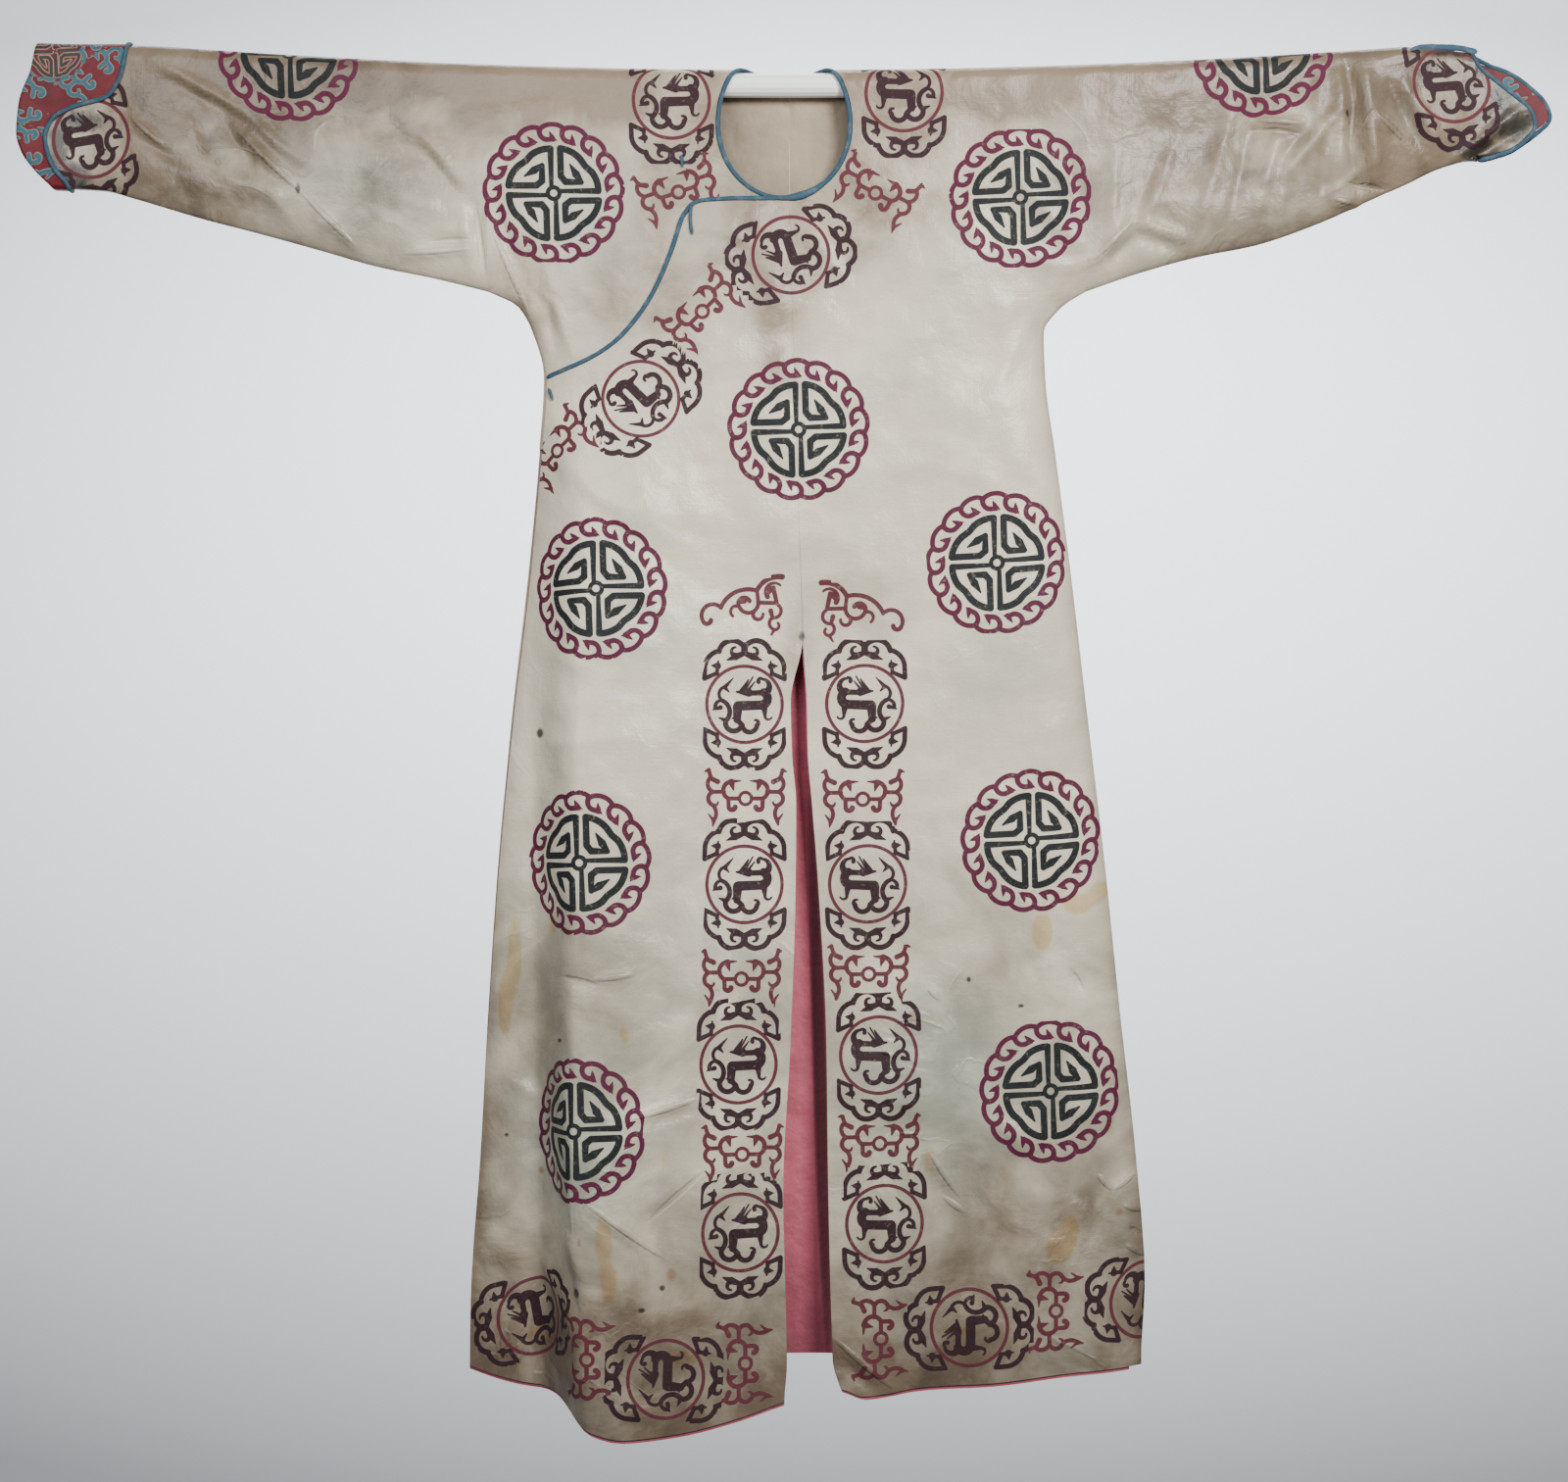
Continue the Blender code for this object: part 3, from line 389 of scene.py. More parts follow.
# Patches of the silk, tan, grey-green and golden: x, drop, half width and half height in millimetres,
# then strength. The tan ones are partly aged silk and partly painted shade, as beside the right cuff,
# at the sides of the neck, over the left sleeve and along the hem.
TAN_AND_SHADE_PATCHES = [
    (-10, 210, 35, 100, 0.6), (0, 125, 110, 35, 0.45), (0, 1430, 700, 160, 0.95),
    (-330, 1180, 55, 300, 0.45), (220, 1230, 150, 110, 0.4), (-660, 50, 110, 90, 0.85),
    (660, 40, 110, 80, 0.95), (-695, 0, 20, 60, 0.8), (-285, 230, 35, 70, 0.55),
    (310, 170, 40, 60, 0.3), (12, 600, 16, 35, 0.45), (480, 10, 200, 40, 0.35),
    (-500, 20, 220, 45, 0.4), (-80, 50, 60, 110, 0.98), (80, 45, 55, 110, 0.98),
    (-180, 250, 50, 70, 0.4), (-290, 1360, 60, 60, 0.8), (110, 70, 50, 80, 0.6),
    (-250, 1300, 130, 80, 0.5), (150, 110, 60, 70, 0.4), (0, 165, 80, 50, 0.9),
    (-140, 200, 70, 110, 0.55), (-12, 285, 30, 80, 0.45), (430, 100, 200, 110, 0.75),
    (-450, 50, 240, 90, 0.6), (-130, 1280, 60, 40, 0.35), (150, 930, 120, 90, 0.25),
    (660, 70, 110, 90, 0.9), (-640, 80, 100, 80, 0.55), (-200, 20, 120, 50, 0.85),
    (200, 20, 120, 50, 0.85), (60, 560, 60, 60, 0.35), (-230, 980, 80, 120, 0.45),
    (300, 1230, 90, 110, 0.5),
]
COOL_PATCHES = [
    (-440, 110, 110, 60, 0.6), (-220, 140, 70, 100, 0.6), (160, 330, 100, 120, 0.45),
    (300, 120, 60, 120, 0.5), (470, 100, 120, 60, 0.5), (-150, 560, 100, 120, 0.4),
    (200, 1080, 120, 130, 0.6), (260, 700, 100, 150, 0.4), (-230, 1080, 90, 140, 0.7),
    (-160, 880, 90, 100, 0.4), (80, 480, 90, 80, 0.3),
]
STAINS = [
    (272, 905, 13, 22, 1), (310, 876, 19, 14, 0.85), (335, 862, 14, 14, 0.7), (290, 1240, 16, 22, 0.95),
    (303, 1222, 10, 18, 0.8), (-290, 930, 9, 45, 0.85), (-301, 985, 9, 40, 0.85),
    (-318, 900, 16, 16, 0.65), (-247, 895, 8, 20, 0.6), (-170, 1010, 9, 13, 0.65),
    (-192, 1225, 12, 30, 0.8), (-186, 1270, 12, 25, 0.75), (-262, 1330, 30, 20, 0.6),
    (-110, 1350, 45, 13, 0.6), (180, 1330, 30, 13, 0.6), (150, 1150, 14, 30, 0.55),
    (345, 1110, 12, 30, 0.5), (-130, 1145, 8, 20, 0.5),
]

# Painted shade: the silk is darker along its seams, where it turns under, and on top of the sleeves
# from this far out, where it turns up over the fold
SEAM_SHADE = 0.45
SEAM_SHADE_WIDTH = 0.010
TOP_SHADE_WIDTH = 0.030
TOP_SHADE_START = 0.10
TOP_SHADE_REACH = 0.15

# Small dark spots on the front, and larger ovals of painted shade in the hollows of both cuffs and along
# the left cuff's upper binding, in millimetres: x, drop, half width, half height
DARK_SPOTS_AND_SHADE = [
    (-262.5, 693.5, 3.6, 4.8), (15.8, 590.5, 3.4, 5), (-239.4, 1017, 2.4, 2.2), (-299, 1122, 2.6, 2),
    (-131, 1276, 3, 3.2), (-152, 1298, 3.8, 2.5), (-220.5, 1280, 3, 6), (249, 984, 3.4, 2),
    (194, 956, 2.5, 2.8), (597, 33, 2, 4.2), (-521, 114, 2.6, 6), (-780, 76, 13, 38),
    (-768, 102, 23, 18), (-756, 41, 26, 12), (776, 42, 27, 22), (742, 70, 30, 12), (764, 13, 15, 17),
    (740, -19, 14, 9), (708, -33, 26, 6),
]
RUST_SPOTS = [
    (-261.5, 1158.6, 3, 3.2), (-217, 1226, 2.2, 4.6), (354, 1205, 4.4, 4.4), (81, 87, 3, 4.2),
    (133, 995, 4, 6), (-121, 1262, 5, 7),
]

# Painted shadow on the lining beside the slit, under the left front's edge, in metres: x, z, half length,
# half width, and its turn
SLIT_SHADE = [(0.0365, -1.080, 0.340, 0.0075, -1.541)]

# Woven motifs of each piece: kind, x and drop of its middle in millimetres, turn in degrees, mirrored (-1)
# or not (1). One that crosses a seam is on both pieces.
FRONT_MOTIFS = {
    "body_right": [
        ("roundel", -248.5, 118, 0, 1), ("medallion", -123, 19, 0, 1), ("scroll", -115.5, 117, 20, 1),
    ],
    "sleeve_right": [("roundel", -248.5, 118, 0, 1), ("medallion", -742.4, 59, 10, -1)],
    "body_left": [
        ("roundel", 249, 122.5, 0, 1), ("roundel", 12.5, 370, 0, 1), ("roundel", 224, 512, 0, 1),
        ("roundel", 261, 808, 0, 1), ("roundel", 281, 1075, 0, 1), ("medallion", 125, 11, 0, -1),
        ("medallion", 4.2, 184, 106, 1), ("scroll", 94.5, 118, -28, 1), ("arch", 37, 530, 0, 1),
        ("medallion", 83, 662, 0, -1), ("scroll", 80.9, 764, 0, 1), ("medallion", 86.1, 854, 0, -1),
        ("scroll", 87.2, 950, 0, 1), ("medallion", 97.7, 1036, 0, -1), ("scroll", 98.7, 1130, 0, 1),
        ("medallion", 104, 1215, 0, -1), ("medallion", 194.3, 1326, 92, -1),
        ("medallion", 383.3, 1299, 84, 1), ("scroll", 99.8, 1337, 90, 1), ("scroll", 286.7, 1309, 90, 1),
    ],
    "sleeve_left": [("roundel", 249, 122.5, 0, 1), ("medallion", 709, 2, 12, -1)],
    "front_overlap": [
        ("roundel", 12.5, 370, 0, 1), ("roundel", -201.5, 541, 0, 1), ("roundel", -218, 830, 0, 1),
        ("roundel", -223, 1110, 0, 1), ("medallion", 4.2, 184, 106, 1),
        ("medallion", -155.4, 338, 132, 1), ("scroll", -90, 244.5, 45, 1), ("scroll", -244, 393, 42, 1),
        ("arch", -5, 524, 0, -1), ("medallion", -45.2, 663, 0, 1), ("scroll", -44, 763, 0, 1),
        ("medallion", -45.2, 854, 0, 1), ("scroll", -48.3, 954, 0, 1), ("medallion", -51.5, 1044, 0, 1),
        ("scroll", -47.3, 1139, 0, 1), ("medallion", -49.4, 1221, 0, 1),
        ("medallion", -267, 1314, 100, 1), ("medallion", -127, 1371, 86, 1),
        ("scroll", -209, 1348, 90, 1), ("scroll", -44, 1359, 90, 1),
    ],
    "cuff_right": [("medallion", -742.4, 59, 10, -1)],
    "cuff_left": [("medallion", 709, 2, 12, -1)],
}
BACK_MOTIFS = {
    "body_right": [
        ("roundel", -250, 130, 0, 1), ("roundel", 3, 360, 0, 1), ("roundel", -200, 530, 0, 1),
        ("roundel", 3, 690, 0, 1), ("roundel", -230, 850, 0, 1), ("roundel", 3, 1020, 0, 1),
        ("roundel", -240, 1130, 0, 1), ("medallion", 3, 75, 90, 1), ("scroll", -90, 60, 60, 1),
        ("medallion", 3, 1295, 90, 1), ("medallion", -187, 1295, 90, 1), ("scroll", -92, 1295, 90, 1),
        ("scroll", -282, 1295, 90, 1),
    ],
    "body_left": [
        ("roundel", 252.5, 130, 0, 1), ("roundel", 3, 360, 0, 1), ("roundel", 220, 520, 0, 1),
        ("roundel", 3, 690, 0, 1), ("roundel", 255, 840, 0, 1), ("roundel", 3, 1020, 0, 1),
        ("roundel", 270, 1110, 0, 1), ("medallion", 3, 75, 90, 1), ("scroll", 96, 60, -60, 1),
        ("medallion", 3, 1295, 90, 1), ("medallion", 193, 1295, 90, -1), ("medallion", 383, 1299, 90, -1),
        ("scroll", 98, 1295, 90, 1), ("scroll", 288, 1295, 90, 1),
    ],
}

# Motifs on the sleeves' tops and the cuffs' facings: the same, but with the length along the cloth from
# its fold in place of the drop
TOP_MOTIFS = {
    "sleeve_right": [("roundel", -532, 6, 0, 1)],
    "sleeve_left": [("roundel", 508, 0, 0, 1)],
    "cuff_right_facing": [
        ("satin_roundel", -781, 17, 0, 1), ("satin_scroll", -728, 0, 20, 1),
        ("satin_scroll", -738, 40, 40, 1), ("satin_scroll", -806, 72, 80, 1),
        ("satin_scroll", -810, 120, 98, 1), ("satin_scroll", -742, -60, -50, 1),
        ("satin_scroll", -800, -76, -30, 1),
    ],
    "cuff_left_facing": [("satin_scroll", 790, -30, -30, 1), ("satin_scroll", 795, -85, 30, 1)],
}

# Half width of each kind's drawing, its half height in the middle, and at the sides
MOTIF_REACH = {
    "roundel": (0.0765, 0.0765, 0.0765),
    "medallion": (0.0465, 0.0700, 0.0570),
    "scroll": (0.0465, 0.0235, 0.0335),
    "arch": (0.0490, 0.0300, 0.0380),
    "satin_roundel": (0.0370, 0.0370, 0.0370),
    "satin_scroll": (0.0410, 0.0210, 0.0290),
}
ARCH_MIDDLE = (0.0435, -0.034)

# Drawings of the motifs, in millimetres, or in thousandths of the roundel's radius for its hooks and its
# fret. A line is its two ends, then its half width at each. A bow is three points on it, then the same.
ROUNDEL_RADIUS = 0.0735
HOOKS = 17
HOOK_MIDDLE = 0.87

# Along the ring and out from the roundel's middle
HOOK_STROKES = [
    (-105, 950, 60, 1005, 225, 950, 34, 34), (-426.5, 950, -261.5, 1005, -105, 950, 34, 34),
    (-105, 950, -110, 840, -10, 785, 36, 36), (-10, 785, 80, 778, 36, 28), (22, 890, 52, 815, 8, 40),
    (52, 805, 135, 768, 42, 4),
]

# One quarter of the key fret
FRET_STROKES = [
    (100, 18, 645, 45, 45, 47), (648, 50, 625, 185, 550, 325, 47, 49), (550, 325, 462, 400, 49, 47),
    (462, 400, 390, 500, 47, 49), (390, 500, 260, 605, 100, 655, 49, 47), (92, 655, 105, 250, 47, 47),
    (105, 250, 172, 170, 47, 47), (172, 170, 400, 168, 49, 37), (405, 172, 325, 285, 29, 57),
    (325, 285, 235, 425, 57, 10),
]

# A quarter of the clouds round a medallion
CLOUD_STROKES = [
    (43, 27, 42.6, 38.5, 2.5, 2.5), (42.5, 27.2, 29.6, 32.8, 2.4, 2.1),
    (29.6, 33.2, 28.2, 45.5, 2.3, 0.9), (29, 40.5, 35.2, 41, 3.8, 0.6),
    (42.6, 38.5, 36.8, 51.5, 27, 56.5, 2.5, 2.6), (27.2, 56, 15, 67.5, 1.2, 61.8, 2.8, 2.8),
    (0.8, 63, 0.8, 54, 2.8, 2.8), (1.2, 53.8, 9.5, 50.5, 2.6, 3.8), (9.5, 50.5, 19, 46.8, 3.8, 0.5),
    (9.8, 52, 13.8, 57, 9.5, 60.5, 2.8, 1),
]
MEDALLION_RADIUS = 0.0405
MEDALLION_LINE = 0.0017

# A small dragon: body, neck, head, mane, tail, legs, curls with hooked ends
DRAGON_STROKES = [
    (-6.8, -1.8, 18.5, -0.8, 5.1, 4.8), (18.5, -0.8, 24.8, 5.8, 20.8, 12.8, 5.1, 4.5),
    (20.5, 12.5, 3.5, 11.8, 3, 2.7), (4.5, 12.5, -8.5, 13.2, 4.5, 0.9),
    (-2.2, 14.5, 4.5, 26.2, 2.9, 0.7), (1, 15, 9.2, 29.2, 1.1, 0.7), (4, 15, 11.2, 24, 1.5, 0.6),
    (22.5, 12.5, 26.2, 22.2, 19.5, 26.8, 4.2, 1.3), (19.5, 26.8, 15.8, 27, 15.2, 23.8, 1.4, 2.2),
    (25.2, 15, 27.5, 20.5, 2.6, 0.6), (21.2, -2.5, 22.2, -12, 3.7, 1.7),
    (22.2, -12, 24, -15.6, 29.2, -13.8, 1.7, 0.8), (-7.2, -3, -8, -16.5, 5.1, 3.9),
    (-8, -13, -13, -15.2, 2.7, 0.7), (-7.8, -16.5, -2.2, -22.8, 2.9, 2.6),
    (-2.5, -22.2, 6.2, -29.5, 13.5, -22.2, 2.7, 2.5), (13.5, -22.2, 14.6, -18.2, 11.2, -16.8, 2.5, 1.1),
    (-3, -21.5, -11.8, -28.5, -20.2, -17.8, 2.7, 2.7), (-20, -17.2, -27.2, -14.6, 2.6, 0.7),
    (-20.2, -17.8, -15.8, -7, -23.2, 3.5, 2.7, 2.3), (-23.2, 3.5, -27.2, 12, -20.8, 18.5, 1.7, 1.7),
    (-20.8, 18.3, -12, 27.8, 2.3, 0.4), (-20.5, 17.2, -16.5, 13, 2.1, 0.6),
    (-23.2, 3.5, -29.2, 2.2, -31.2, -4.2, 1.4, 2.2), (-33.8, -6, -25.8, -3.6, 0.7, 2.5),
]

# Half of a scroll, mirrored across: it lies between medallions
SCROLL_STROKES = [
    (8.3, 0, 18.5, 0, 2.1, 2.1), (18.5, 0, 24, 9, 16.5, 17.8, 2.2, 2.4), (16.5, 18, 5, 18.8, 2.5, 0.5),
    (15.2, 17.2, 12.8, 8.8, 3.7, 0.6), (18.5, 0, 18.2, -8.5, 2.2, 2.2),
    (18.2, -8.5, 14.8, -12, 11.2, -9.2, 2.3, 2.8), (23.2, 7.2, 35.2, 7, 2.1, 2.1),
    (35.2, 7, 40.8, 14.8, 37.2, 22.8, 2.2, 2.1), (38, 21.5, 30, 17.8, 2.3, 2.7),
    (37.6, 22.6, 39.8, 30, 2, 2.1), (39.8, 30, 44, 28.6, 2.3, 0.7),
    (35.2, 7, 40.2, 0.5, 35.8, -6.8, 2.2, 2.2), (35.8, -6.8, 32.2, -7.2, 29.6, -3.8, 2.2, 0.9),
    (35, -7.5, 31.8, -14, 34.5, -23.5, 2.1, 2.1), (34, -24, 39.8, -16.5, 2, 0.6),
    (34.2, -23.5, 35.4, -29.5, 2.5, 0.5),
]
SCROLL_RING_RADIUS = 0.0065
SCROLL_RING_LINE = 0.0017

# The half arch beside the top of the slit, right of the middle
ARCH_STROKES = [
    (0, -3.2, 17, -6.8, 27, -18, 3, 2.4), (27, -18, 49, -19.5, 65.8, -36.5, 2.3, 2.3),
    (65.8, -36.5, 84.5, -38.8, 84.8, -51.5, 2.1, 2.1), (84.8, -51.5, 80, -54, 76.4, -50.2, 2.2, 2.4),
    (26.8, -18.5, 25.6, -30.2, 1.9, 2.1), (2, -12.2, 16.8, -16, 15.5, -24.5, 1.2, 2.6),
    (9.5, -15, 6, -30, 2.6, 2.2), (13, -16.5, 16.5, -21.5, 3.6, 2.8),
    (5.7, -31.2, 25.6, -30.8, 2.1, 2.1), (25.6, -30.8, 35, -41.8, 45.8, -35.8, 2.1, 2.1),
    (45.8, -35.8, 44.5, -27, 35, -29, 2.1, 2.4), (40.5, -29, 44, -30, 3, 2.4),
    (46, -35.5, 53.5, -36.5, 52.8, -45.5, 1.9, 1.5), (30.5, -41, 27.5, -48.5, 20.4, -43, 2.2, 1.6),
    (4.6, -33, 1.8, -42.5, 10.2, -46.8, 1.8, 1.8), (10.2, -46.8, 12.2, -39.5, 1.8, 2.6),
    (10.2, -46.8, 13.5, -54, 8.2, -59.5, 1.8, 1.8), (8.2, -59.5, 3.8, -57.2, 4.4, -52.5, 1.8, 1.4),
    (8.2, -59.5, 12.2, -66, 1.8, 0.9),
]

# The roundel in the cuff's facing
FACING_RING_RADIUS = 0.0345
FACING_RING_LINE = 0.0016
FACING_FRET_SCALE = 0.040
SATIN_SCROLL_SHRINK = 1.15

# Softness of a woven edge, and the spacing of the threads and ribs
WEAVE_EDGE = 0.00035
SATIN_RIB = 0.0009
TAN_THREAD = 0.0011
PINK_THREAD = 0.0009
BINDING_THREAD = 0.0012

# Camera and studio, in metres
CAMERA_PLACE = (-0.003, -3.2, -0.702)
PICTURE_WIDTH = 1.68
SENSOR_WIDTH = 36.0
FLOOR_Z = -4.2
WALL_Y = 5.4
COVE_RADIUS = 1.2
WARM_LIGHT = (1.0, 0.985, 0.955)
COOL_LIGHT = (0.985, 0.99, 1.0)

# The backdrop's painted pool of light: brightest at this x and z, falling off with the square of the
# distance from it
WALL_BRIGHTEST = (0.12, 0.00, -0.73)
WALL_REACH = (2.82, 1.0, 2.54)
WALL_FALL_ACROSS = 0.15
WALL_FALL_UP = 0.82


def linear(red, green, blue):
    """A colour as screens write it, from 0 to 255, turned into the light that Blender counts with."""
    value = np.array([red, green, blue]) / 255.0
    return tuple(np.where(value <= 0.04045, value / 12.92, ((value + 0.055) / 1.055) ** 2.4))


def lit(shade, light=1.0):
    """A shade with its alpha, made darker or lighter."""
    return (*[min(1.0, part * light) for part in shade[:3]], 1)


def colour_setting(label, told, *shade):
    """A colour that a user can change, with its default as screens write it."""
    kind = {"subtype": "COLOR", "size": 3, "min": 0.0, "max": 1.0}
    return bpy.props.FloatVectorProperty(name=label, description=told, default=linear(*shade), **kind)


def setting(label, told, default, **kind):
    """A number that a user can change."""
    return bpy.props.FloatProperty(name=label, description=told, default=default, **kind)


class RobeSizes(bpy.types.PropertyGroup):
    """Sizes that a user would change without cutting a different robe."""

    silk_cell: setting("Silk cell", "Distance between a silk's points", 0.0055, unit="LENGTH")
    lining_cell: setting("Lining cell", "Distance between a lining's points", 0.009, unit="LENGTH")
    silk_wall: setting("Silk wall", "Thickness of the silk", SILK, unit="LENGTH")
    lining_wall: setting("Lining wall", "Thickness of the linings", LINING, unit="LENGTH")
    crease_share: setting("Creases", "Share of the creases' full height", 1.0, min=0.0, max=1.5)


class RobeColours(bpy.types.PropertyGroup):
    """Colours of the cloths, the weave and the rod."""

    silk: colour_setting("Silk", "Ivory ground of the silk", 214, 204, 181)
    silk_cool: colour_setting("Silk, cool", "Grey-green patches of the silk", 184, 187, 168)
    # This tan is also the colour of the painted shade in the tan patches, along the seams and over the top
    # fold
    silk_tan: colour_setting("Silk, aged", "Tan tinge of the worn silk", 130, 113, 94)
    # The dark spots' colour is also that of the painted shade in the cuffs
    dark_spot_and_shade: colour_setting("Dark spots", "Small dark marks", 34, 36, 34)
    rust: colour_setting("Rust spots", "Small orange-brown marks", 150, 96, 62)
    stain: colour_setting("Stain", "Golden water stains", 240, 210, 152)
    ring: colour_setting("Ring", "Magenta-plum rings of the roundels", 80, 6, 44)
    plum: colour_setting("Plum", "Dark plum of clouds and dragons", 42, 14, 24)
    pale_plum: colour_setting("Pale plum", "Lighter plum of circles and scrolls", 88, 34, 44)
    fret: colour_setting("Fret", "Black-green of the key frets", 10, 16, 18)
    binding: colour_setting("Binding", "Blue of the bindings and ties", 44, 80, 100)
    satin: colour_setting("Satin", "Red of the cuffs' facings", 98, 6, 22)
    teal: colour_setting("Teal", "Scrolls on the red satin", 22, 92, 108)
    pink: colour_setting("Pink lining", "Lining of the skirts", 218, 110, 130)
    tan: colour_setting("Tan lining", "Lining of the yoke", 196, 176, 150)
    rod: colour_setting("Rod", "White plastic of the rod", 248, 248, 244)
    wall: colour_setting("Backdrop", "Pale wall and floor", 222, 224, 228)


class RobeStudio(bpy.types.PropertyGroup):
    """Light for the picture."""

    key_power: setting("Key light", "Power of the large light at the right", 86.0, unit="POWER")
    fill_power: setting("Fill light", "Power of the large light at the left", 41.0, unit="POWER")
    wall_power: setting("Wall light", "Power of the light over the backdrop", 1180.0, unit="POWER")
    sky: setting("Sky", "Strength of the light from all round", 0.34)


def sizes():
    """The sizes that the sidebar shows."""
    return bpy.context.scene.robe_sizes


def colours():
    """The colours that the sidebar shows."""
    return bpy.context.scene.robe_colours


def soft(t):
    """0 to 1 with level ends: three times the square less twice the cube."""
    t = np.clip(t, 0.0, 1.0)
    return t * t * (3 - 2 * t)


def follow(table, column, at):
    """A smooth curve through a table's column: cubics, with the chords' harmonic means as slopes."""
    rows = np.array(table, float)
    order = np.argsort(rows[:, 0])
    known = rows[order, 0]
    value = rows[order, column]
    chords = np.diff(value) / np.diff(known)
    product = chords[1:] * chords[:-1]
    total = np.where(product > 0, chords[1:] + chords[:-1], 1.0)
    between = np.where(product > 0, 2 * product / total, 0.0)
    slope = np.concatenate([chords[:1], between, chords[-1:]])
    at = np.clip(at, known[0], known[-1])
    cell = np.clip(np.searchsorted(known, at) - 1, 0, len(known) - 2)
    width = known[cell + 1] - known[cell]
    t = (at - known[cell]) / width
    start = (1 + 2 * t) * (1 - t) ** 2 * value[cell] + t * (1 - t) ** 2 * width * slope[cell]
    end = t * t * (3 - 2 * t) * value[cell + 1] + t * t * (t - 1) * width * slope[cell + 1]
    return start + end


def by_hand(table, x, at):
    """A table's value for the right or the left side, by the sign of x."""
    return np.where(np.asarray(x) < 0, follow(table, 1, at), follow(table, 2, at))


def rod_height(x):
    """Height of the rod's middle line: the square of the distance along it, then a straight slope past it."""
    reach = np.abs(x)
    on_rod = ROD_SAG * np.minimum(reach, ROD_HALF_LENGTH) ** 2
    slope = np.where(np.asarray(x) < 0, ROD_END_SLOPE[-1], ROD_END_SLOPE[1])
    return on_rod + slope * np.maximum(reach - ROD_HALF_LENGTH, 0.0)


def wrap_radius(x):
    """Radius of the turn on top: the rod's, then softly smaller out to the cuff's end."""
    past = (np.abs(x) - ROD_HALF_LENGTH) / (CUFF_END_X - ROD_HALF_LENGTH)
    return WRAP_RADIUS + (CUFF_WRAP_RADIUS - WRAP_RADIUS) * soft(past)


def outline(side):
    """The garment's lower outline on one side, from the cuff in to the armhole and down to the hem."""
    column = 1 if side < 0 else 2
    sleeve = [(side * row[0], row[column]) for row in reversed(SLEEVE_SEAM)]
    body = [(side * row[column], row[0]) for row in SIDE_SEAM[1:]]
    return np.array(sleeve + body)


def from_segment(x, drop, ax, ad, bx, bd):
    """Share along a straight line of the point nearest to each point, and the distance to it."""
    length2 = (bx - ax) ** 2 + (bd - ad) ** 2
    share = np.clip(((x - ax) * (bx - ax) + (drop - ad) * (bd - ad)) / length2, 0.0, 1.0)
    return share, np.hypot(x - ax - share * (bx - ax), drop - ad - share * (bd - ad))


def edge_distance(x, drop):
    """Distance in the front view to the side seam or the sleeve's lower seam."""
    nearest = np.full(np.broadcast(x, drop).shape, 1.0)
    for side in (-1, 1):
        corners = outline(side)
        for start, end in zip(corners[:-1], corners[1:]):
            nearest = np.minimum(nearest, from_segment(x, drop, *start, *end)[1])
    return nearest


def edge_depth(x, drop):
    """Half the distance between front and back at the seams: more at the right side's vent and the cuffs."""
    low, high = VENT_DROPS
    vent = soft((drop - low) / (high - low)) * (np.asarray(x) < 0)
    cuff = soft((np.abs(x) - SLEEVE_END_X) / (CUFF_END_X - SLEEVE_END_X))
    return EDGE_DEPTH + (VENT_DEPTH - EDGE_DEPTH) * vent + (CUFF_EDGE_DEPTH - EDGE_DEPTH) * cuff


def swell(x, drop):
    """How far the right front skirt swells forward: soft steps from foot to crest and on to the slit."""
    foot = follow(SWELL, 1, drop)
    crest = follow(SWELL, 2, drop)
    crest_depth = follow(SWELL, 3, drop)
    slit_depth = follow(SWELL, 4, drop)
    slit = follow(CENTRE, 1, drop)
    rise = crest_depth * soft((x - foot) / (crest - foot))
    fall = (crest_depth - slit_depth) * soft((x - crest) / (slit - crest))
    return np.where(drop > SWELL[0][0], rise - fall, 0.0)


def waves(x, drop, face):
    """Depth of the skirt's long waves: bells across, growing evenly towards the hem."""
    total = np.zeros(np.broadcast(x, drop).shape)
    for side, wave_x, begins, height, half_width in WAVES:
        grown = np.clip((drop - begins) / (BACK_HEM - begins), 0.0, 1.1)
        total = total + (face == side) * height * grown * np.exp(-(((x - wave_x) / half_width) ** 2))
    return total


def depth(x, drop, face):
    """Distance of the cloth from the rod's plane: a quarter ellipse up from each edge, then level."""
    radius = wrap_radius(x)
    inward = 1 - np.clip(edge_distance(x, drop) / EDGE_SOFTNESS, 0.0, 1.0)
    edge = edge_depth(x, drop)
    return edge + (radius - edge + waves(x, drop, face)) * (1 - inward**2)


def hang(x, level, face, lower=None):
    """Points at x and level: a circle round the rod, then straight down at the cloth's own depth."""
    x, level = np.broadcast_arrays(np.asarray(x, float), np.asarray(level, float))
    centre = rod_height(x)
    lower = ARMHOLE_DROP if lower is None else lower
    fraction = np.clip(level / ARMHOLE_DROP, 0.0, 1.0)
    drop = np.where(level <= ARMHOLE_DROP, lower * fraction - centre * (1 - fraction), level)
    radius = wrap_radius(x)
    angle = np.minimum(level, 0.0)
    y = np.where(level < 0, radius * np.cos(angle), depth(x, drop, face))
    z = np.where(level < 0, centre - radius * np.sin(angle), -drop)
    return np.stack([x, face * y, z], axis=-1)


def hang_sleeve(x, level, face):
    """Hangs a sleeve's points, whose last row is its lower seam."""
    return hang(x, level, face, by_hand(SLEEVE_SEAM, x, np.abs(x)))


def travel(level, face):
    """Length along the cloth from where it leaves the rod in front, negative over the rod."""
    down = np.where(np.asarray(level) < 0, np.asarray(level) * WRAP_RADIUS, level)
    return down if face == FRONT else -math.pi * WRAP_RADIUS - down


